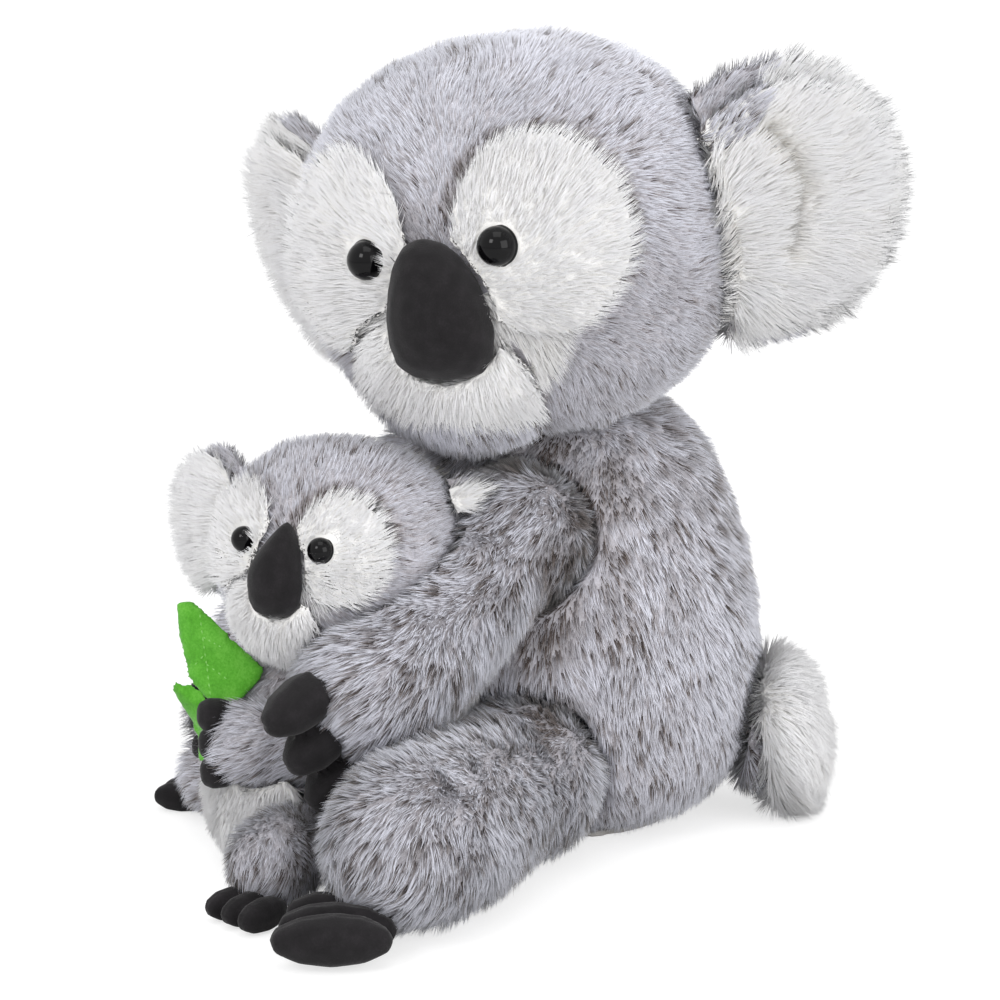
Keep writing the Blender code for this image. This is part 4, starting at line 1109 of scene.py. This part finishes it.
# %% White pile of the mother's face
# White hairs have no ticks: no noise reaches that level.
NO_TICKS = 2.0
down_face = away_from(nose_place, (0.0, 0.0, -0.3))
face_patch = dict(length=0.0075, lean=0.95, tone=0.1, patchy=0.2, swirl=0.35, tuft=0.0024, width=0.0004,
                  pull=0.25, density=1.6e6, ticks=NO_TICKS)
coat("mother_face_white_pile", "head", white_pile, 21, [
    *[dict(face_patch, on=patch, clear=("mother_head", "mother_nose"), margin=-0.0006,
           comb=away_from(nose_place)) for patch in MOTHER_PATCHES],
    dict(face_patch, on="mother_muzzle", clear=("mother_head", "mother_nose"), margin=0.0, comb=down_face,
         only=lambda p, n: p[:, 2] > chin_line),
    dict(face_patch, on="mother_head", density=2.3e6, length=0.009, lean=0.75, tone=0.35, comb=down_face,
         clear=(*MOTHER_FACE, ("mother_nose", 0.0005)), margin=-0.0015,
         only=lambda p, n: white_round_mouth(p)),
])

# %% Crease of the left ear, where its lining is folded in, with painted shade down in it
CREASE_LINE = np.array((
    (0.068, 0.055, 0.2610), (0.069, 0.063, 0.2520), (0.068, 0.0675, 0.2390), (0.067, 0.0665, 0.2255),
    (0.066, 0.064, 0.2170),
))
CREASE_DEPTH = 0.0045
CREASE_HALF_WIDTH = 0.0035
SHADE_HALF_WIDTH = 0.004
folded = skins["mother_ear_lining_left"]
folded_shape = BVHTree.FromPolygons(
    [v.co for v in folded.data.vertices], [tuple(f.vertices) for f in folded.data.polygons],
)
crease = np.array([
    folded_shape.find_nearest(Vector([np.interp(t, range(5), CREASE_LINE[:, k]) for k in range(3)]))[0]
    for t in np.linspace(0.0, 4.0, 33)
])


def from_crease(points):
    """How far each point is from the crease."""
    return np.linalg.norm(points[:, None, :] - crease[None, :, :], axis=2).min(axis=1)


def painted_crease_shade(points):
    """Painted shade: a warmer, darker tone for the hairs down in the crease."""
    return 1.2 * np.exp(-(from_crease(points) / SHADE_HALF_WIDTH) ** 2)


folded_points = read_points(folded)
sink = CREASE_DEPTH * np.exp(-(from_crease(folded_points) / CREASE_HALF_WIDTH) ** 2)
write_points(folded, folded_points - read_normals(folded) * sink[:, None])
print("ear crease pressed")

# %% Ears: white in front and over the rim, grey behind and where the top meets the head
EAR_TOP = np.array((0.060, 0.036, 0.274))
EAR_TOP_REACH = 0.019


def at_ear_top(points, word):
    """True where the front of the left ear is still grey."""
    return (np.linalg.norm(points - EAR_TOP, axis=1) < EAR_TOP_REACH) & (word == "left")


def at_rim(points, word):
    """True for places on the ear's back that carry white pile."""
    ear, lining = f"mother_ear_{word}", f"mother_ear_lining_{word}"
    outward = unit((centre_of(ear) - centre_head)[None, :])[0]
    outer = (points - centre_of(ear)) @ outward > 0.0
    beside_head = inside(points, "mother_head", 0.012) & (points[:, 2] < centre_of(ear)[2] + 0.016)
    rim = inside(points, lining, 0.006) | (outer & inside(points, lining, 0.013)) | beside_head
    return rim & ~at_ear_top(points, word)


def coat_ear(word, grey_density, white_density):
    """Both piles of one ear. Hairs beside the head lean over the seam and hide it."""
    body, ear, lining = f"ear_{word}", f"mother_ear_{word}", f"mother_ear_lining_{word}"
    root = centre_head * 0.55 + centre_of(ear) * 0.45
    lining_clear = (("mother_head", -0.001), (ear, -0.0015))
    grey = dict(density=grey_density, length=0.0070, lean=1.05, tone=0.25, patchy=0.4, width=0.00048,
                comb=away_from(root), ticks=0.68)
    coat(f"{ear}_pile", body, grey_pile, 31, [
        dict(grey, on=ear, clear=("mother_head", lining), only=lambda p, n: ~at_rim(p, word)),
        dict(grey, on=lining, density=1.6e6, clear=lining_clear, only=lambda p, n: at_ear_top(p, word)),
    ])
    white = dict(density=white_density, length=0.0095, lean=1.0, tone=0.15, patchy=0.4, swirl=0.6, tuft=0.003,
                 pull=0.25, ticks=NO_TICKS, comb=away_from(root), width=0.00048)
    # The lining's white hairs carry painted shade down the crease.
    coat(f"{lining}_pile", body, white_pile, 32, [
        dict(white, on=lining, clear=lining_clear, tint=painted_crease_shade, only=lambda p, n: ~at_ear_top(p, word)),
        dict(white, on=lining, density=1.9e6, length=0.0105, lean=0.8, tone=0.4, comb=towards(root),
             clear=(("mother_head", -0.003), (ear, -0.0015)),
             only=lambda p, n: inside(p, "mother_head", 0.0075) & ~at_ear_top(p, word)),
        dict(white, on=ear, clear=("mother_head", (lining, -0.001)), only=lambda p, n: at_rim(p, word)),
    ])


coat_ear("left", grey_density=1.0e6, white_density=1.6e6)
coat_ear("right", grey_density=0.7e6, white_density=1.0e6)
print("ears coated")

# %% Painted shade in the fold: at the shoulder, down the back of the left arm and at the left hip
SHADED_FOLD = np.array((
    (0.0400, -0.0200, 0.1460), (0.0470, -0.0305, 0.1417), (0.0553, -0.0066, 0.1308),
    (0.0650, -0.0150, 0.1220), (0.0711, -0.0235, 0.1136), (0.0640, -0.0266, 0.0973),
    (0.0671, -0.0295, 0.0835), (0.0735, -0.0287, 0.0560), (0.0788, -0.0262, 0.0515),
))
SHADED_FOLD_REACH = 0.010


def painted_fold_shade(points):
    """Painted shade: more brown near the fold, in patches."""
    near = np.linalg.norm(points[:, None, :] - SHADED_FOLD[None, :, :], axis=2).min(axis=1)
    patches = np.clip(2.4 * cloudy(points, 0.0045, 90) - 0.35, 0.0, 1.0)
    return 1.4 * np.exp(-(near / SHADED_FOLD_REACH) ** 2) * patches


def fold_shade_and_locks(points):
    """The painted shade of the fold, and looser browner locks on the upper half of the trunk."""
    height = np.clip((points[:, 2] - 0.075) / 0.03, 0.0, 1.0)
    return painted_fold_shade(points) + 0.55 * height * np.clip(3.0 * cloudy(points, 0.005, 95) - 1.3, 0.0, 1.0)


print("fold points:", len(SHADED_FOLD))

# %% Pile of the mother's trunk
BIB_REACH = 0.009


def not_under(points, normals):
    """True but for the flat of the seat."""
    return ~((points[:, 2] < 0.004) & (normals[:, 2] < -0.8))


def on_left(points):
    """True for the toy's own left half."""
    return points[:, 0] >= 0.0


# The trunk's tint is painted shade along the fold, with browner locks above.
trunk_patch = dict(
    on="mother_body", density=1.05e6, length=0.0066, lean=1.05, tone=0.12, patchy=0.3, tuft=0.0026,
    clear=("mother_head", "mother_arm_left", "mother_arm_right", "mother_leg_left", "mother_leg_right",
           "mother_tail", "mother_bib", "baby_body", "seat_panel"),
    comb=along((0.0, 0.05, -1.0)), pull=0.35, ticks=0.67, tint=fold_shade_and_locks,
)
coat("mother_trunk_pile_left", "torso", grey_pile, 41, [
    dict(trunk_patch,
         only=lambda p, n: not_under(p, n) & on_left(p) & ~inside(p, "mother_bib", BIB_REACH)),
])
coat("mother_trunk_pile_right", "torso", grey_pile, 42, [
    dict(trunk_patch, density=0.5e6, width=0.0006, only=lambda p, n: not_under(p, n) & ~on_left(p)),
])
coat("mother_bib_pile", "torso", white_pile, 43, [
    dict(on="mother_bib", density=1.6e6, length=0.009, lean=1.0, tone=0.4, clear=("mother_body",),
         margin=-0.0006, comb=along((0.0, -0.2, -1.0))),
    dict(trunk_patch, length=0.009, clear=("mother_head", "mother_arm_left", "baby_body"), ticks=NO_TICKS,
         tone=0.4, only=lambda p, n: on_left(p) & inside(p, "mother_bib", BIB_REACH)),
])


# %% Arms and legs
def coat_limbs(word, seed, arm_density, leg_density):
    """The pile of one arm and one leg, which runs down to the claws."""
    # The limbs' tint is painted shade along the fold.
    limb_patch = dict(length=0.0080, lean=0.95, tone=0.06, patchy=0.3, swirl=0.6, tuft=0.003, ticks=0.63,
                      tint=painted_fold_shade)
    hand, foot = f"mother_hand_claws_{word}", f"mother_foot_claws_{word}"
    coat(f"mother_arm_{word}_pile", "torso", grey_pile, seed, [
        dict(limb_patch, on=f"mother_arm_{word}", density=arm_density,
             comb=towards(centre_of(hand), (0.0, 0.0, -0.1)),
             clear=("mother_body", hand, "baby_body", "baby_head")),
    ])
    coat(f"mother_leg_{word}_pile", f"leg_{word}", grey_pile, seed + 2, [
        dict(limb_patch, on=f"mother_leg_{word}", density=leg_density,
             comb=towards(centre_of(foot), (0.0, 0.0, -0.15)), clear=("mother_body", foot)),
    ])


coat_limbs("left", seed=51, arm_density=1.4e6, leg_density=1.25e6)
coat_limbs("right", seed=52, arm_density=0.62e6, leg_density=0.55e6)
print("limbs coated")

# %% Tail
tail_root = np.array((0.02, 0.05, 0.05))
coat("mother_tail_pile", "tail", grey_pile, 61, [
    dict(on="mother_tail", density=1.3e6, length=0.009, lean=1.0, tone=0.3, ticks=0.62,
         comb=away_from(tail_root, (0.0, 0.0, 0.3)), clear=("mother_tail_tuft",)),
])
coat("mother_tail_tuft_pile", "tail", white_pile, 62, [
    dict(on="mother_tail_tuft", density=2.1e6, length=0.010, lean=0.95, tone=0.15, patchy=0.3, tuft=0.003,
         pull=0.25, ticks=NO_TICKS, comb=away_from(tail_root), clear=("mother_tail",)),
])

# %% The baby's grey pile
BABY_MOUTH_REACH = 0.022
BABY_BROW_REACH = 0.0052
BABY_PATCHES = ("baby_eye_patch_left", "baby_eye_patch_right")
baby_crown = centre_of("baby_head")
small = dict(length=0.0050, lean=1.0, tone=0.15, patchy=0.3, swirl=0.6, tuft=0.002, width=0.00036, pull=0.3,
             ticks=0.7)
coat("baby_head_pile", "torso", grey_pile, 71, [
    dict(small, on="baby_head", density=1.15e6, comb=away_from(baby_nose_place, head_back * 0.5),
         clear=(*BABY_PATCHES, "baby_muzzle", "baby_nose", "baby_body", "baby_ear_left", "baby_ear_right",
                "mother_body", "mother_arm_left"),
         only=lambda p, n: ~around_mouth(p, baby_nose_place, BABY_MOUTH_REACH),
         tint=lambda p: seam_fringe(p, BABY_PATCHES, BABY_BROW_REACH)),
])


def baby_limb(part, tip, word, density):
    """How the nap lies on one limb of the baby."""
    claws = f"baby_{tip}_claws_{word}"
    return dict(small, on=f"baby_{part}_{word}", density=density, length=0.0068, tone=0.2, tuft=0.0026,
                ticks=0.64, clear=("baby_body", claws), comb=towards(centre_of(claws), (0.0, 0.0, -0.1)))


coat("baby_trunk_and_limb_pile", "torso", grey_pile, 72, [
    dict(small, on="baby_body", density=0.7e6, clear=("baby_head", "baby_belly_patch", "mother_body"),
         length=0.0065, comb=along((0.0, 0.0, -1.0)), tone=0.3),
    *[baby_limb(part, tip, word, density) for part, tip in (("arm", "hand"), ("leg", "foot"))
      for word, density in (("left", 1.3e6), ("right", 0.9e6))],
    *[dict(small, on=f"baby_ear_{word}", density=1.4e6, tone=0.3, comb=away_from(baby_crown),
           clear=("baby_head", f"baby_ear_lining_{word}")) for word in ("left", "right")],
])

# %% The baby's white pile
small_white = dict(face_patch, width=0.00036, tuft=0.0018)
down_baby_face = away_from(baby_nose_place, (0.0, 0.0, -0.3))
coat("baby_white_pile", "torso", white_pile, 73, [
    *[dict(small_white, on=patch, density=2.5e6, length=0.006, clear=("baby_head", "baby_nose"),
           margin=-0.0005, comb=away_from(baby_nose_place)) for patch in BABY_PATCHES],
    dict(small_white, on="baby_head", density=2.1e6, length=0.005, margin=-0.0012, comb=down_baby_face,
         clear=(*BABY_PATCHES, "baby_muzzle", ("baby_nose", 0.0005)),
         only=lambda p, n: around_mouth(p, baby_nose_place, BABY_MOUTH_REACH)),
    dict(small_white, on="baby_muzzle", density=2.5e6, length=0.0055, clear=("baby_head", "baby_nose"),
         comb=down_baby_face),
    *[dict(small_white, on=f"baby_ear_lining_{word}", density=2.3e6, length=0.008, tuft=0.0022,
           clear=("baby_head", f"baby_ear_{word}"), comb=away_from(baby_crown))
      for word in ("left", "right")],
    dict(face_patch, on="baby_belly_patch", density=2.1e6, length=0.006, width=0.0005, clear=("baby_body",),
         margin=-0.0005, comb=along((0.0, 0.0, -1.0))),
])
print("hairs in all:", hair_total, "faces:", hair_total * 4)

# %% [markdown]
# ## Face count
#
# The last cell counts the triangles of the pieces that show.

# %% Triangles that show
faces = sum(len(face.vertices) - 2 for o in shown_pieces() if o.type == "MESH" for face in o.data.polygons)
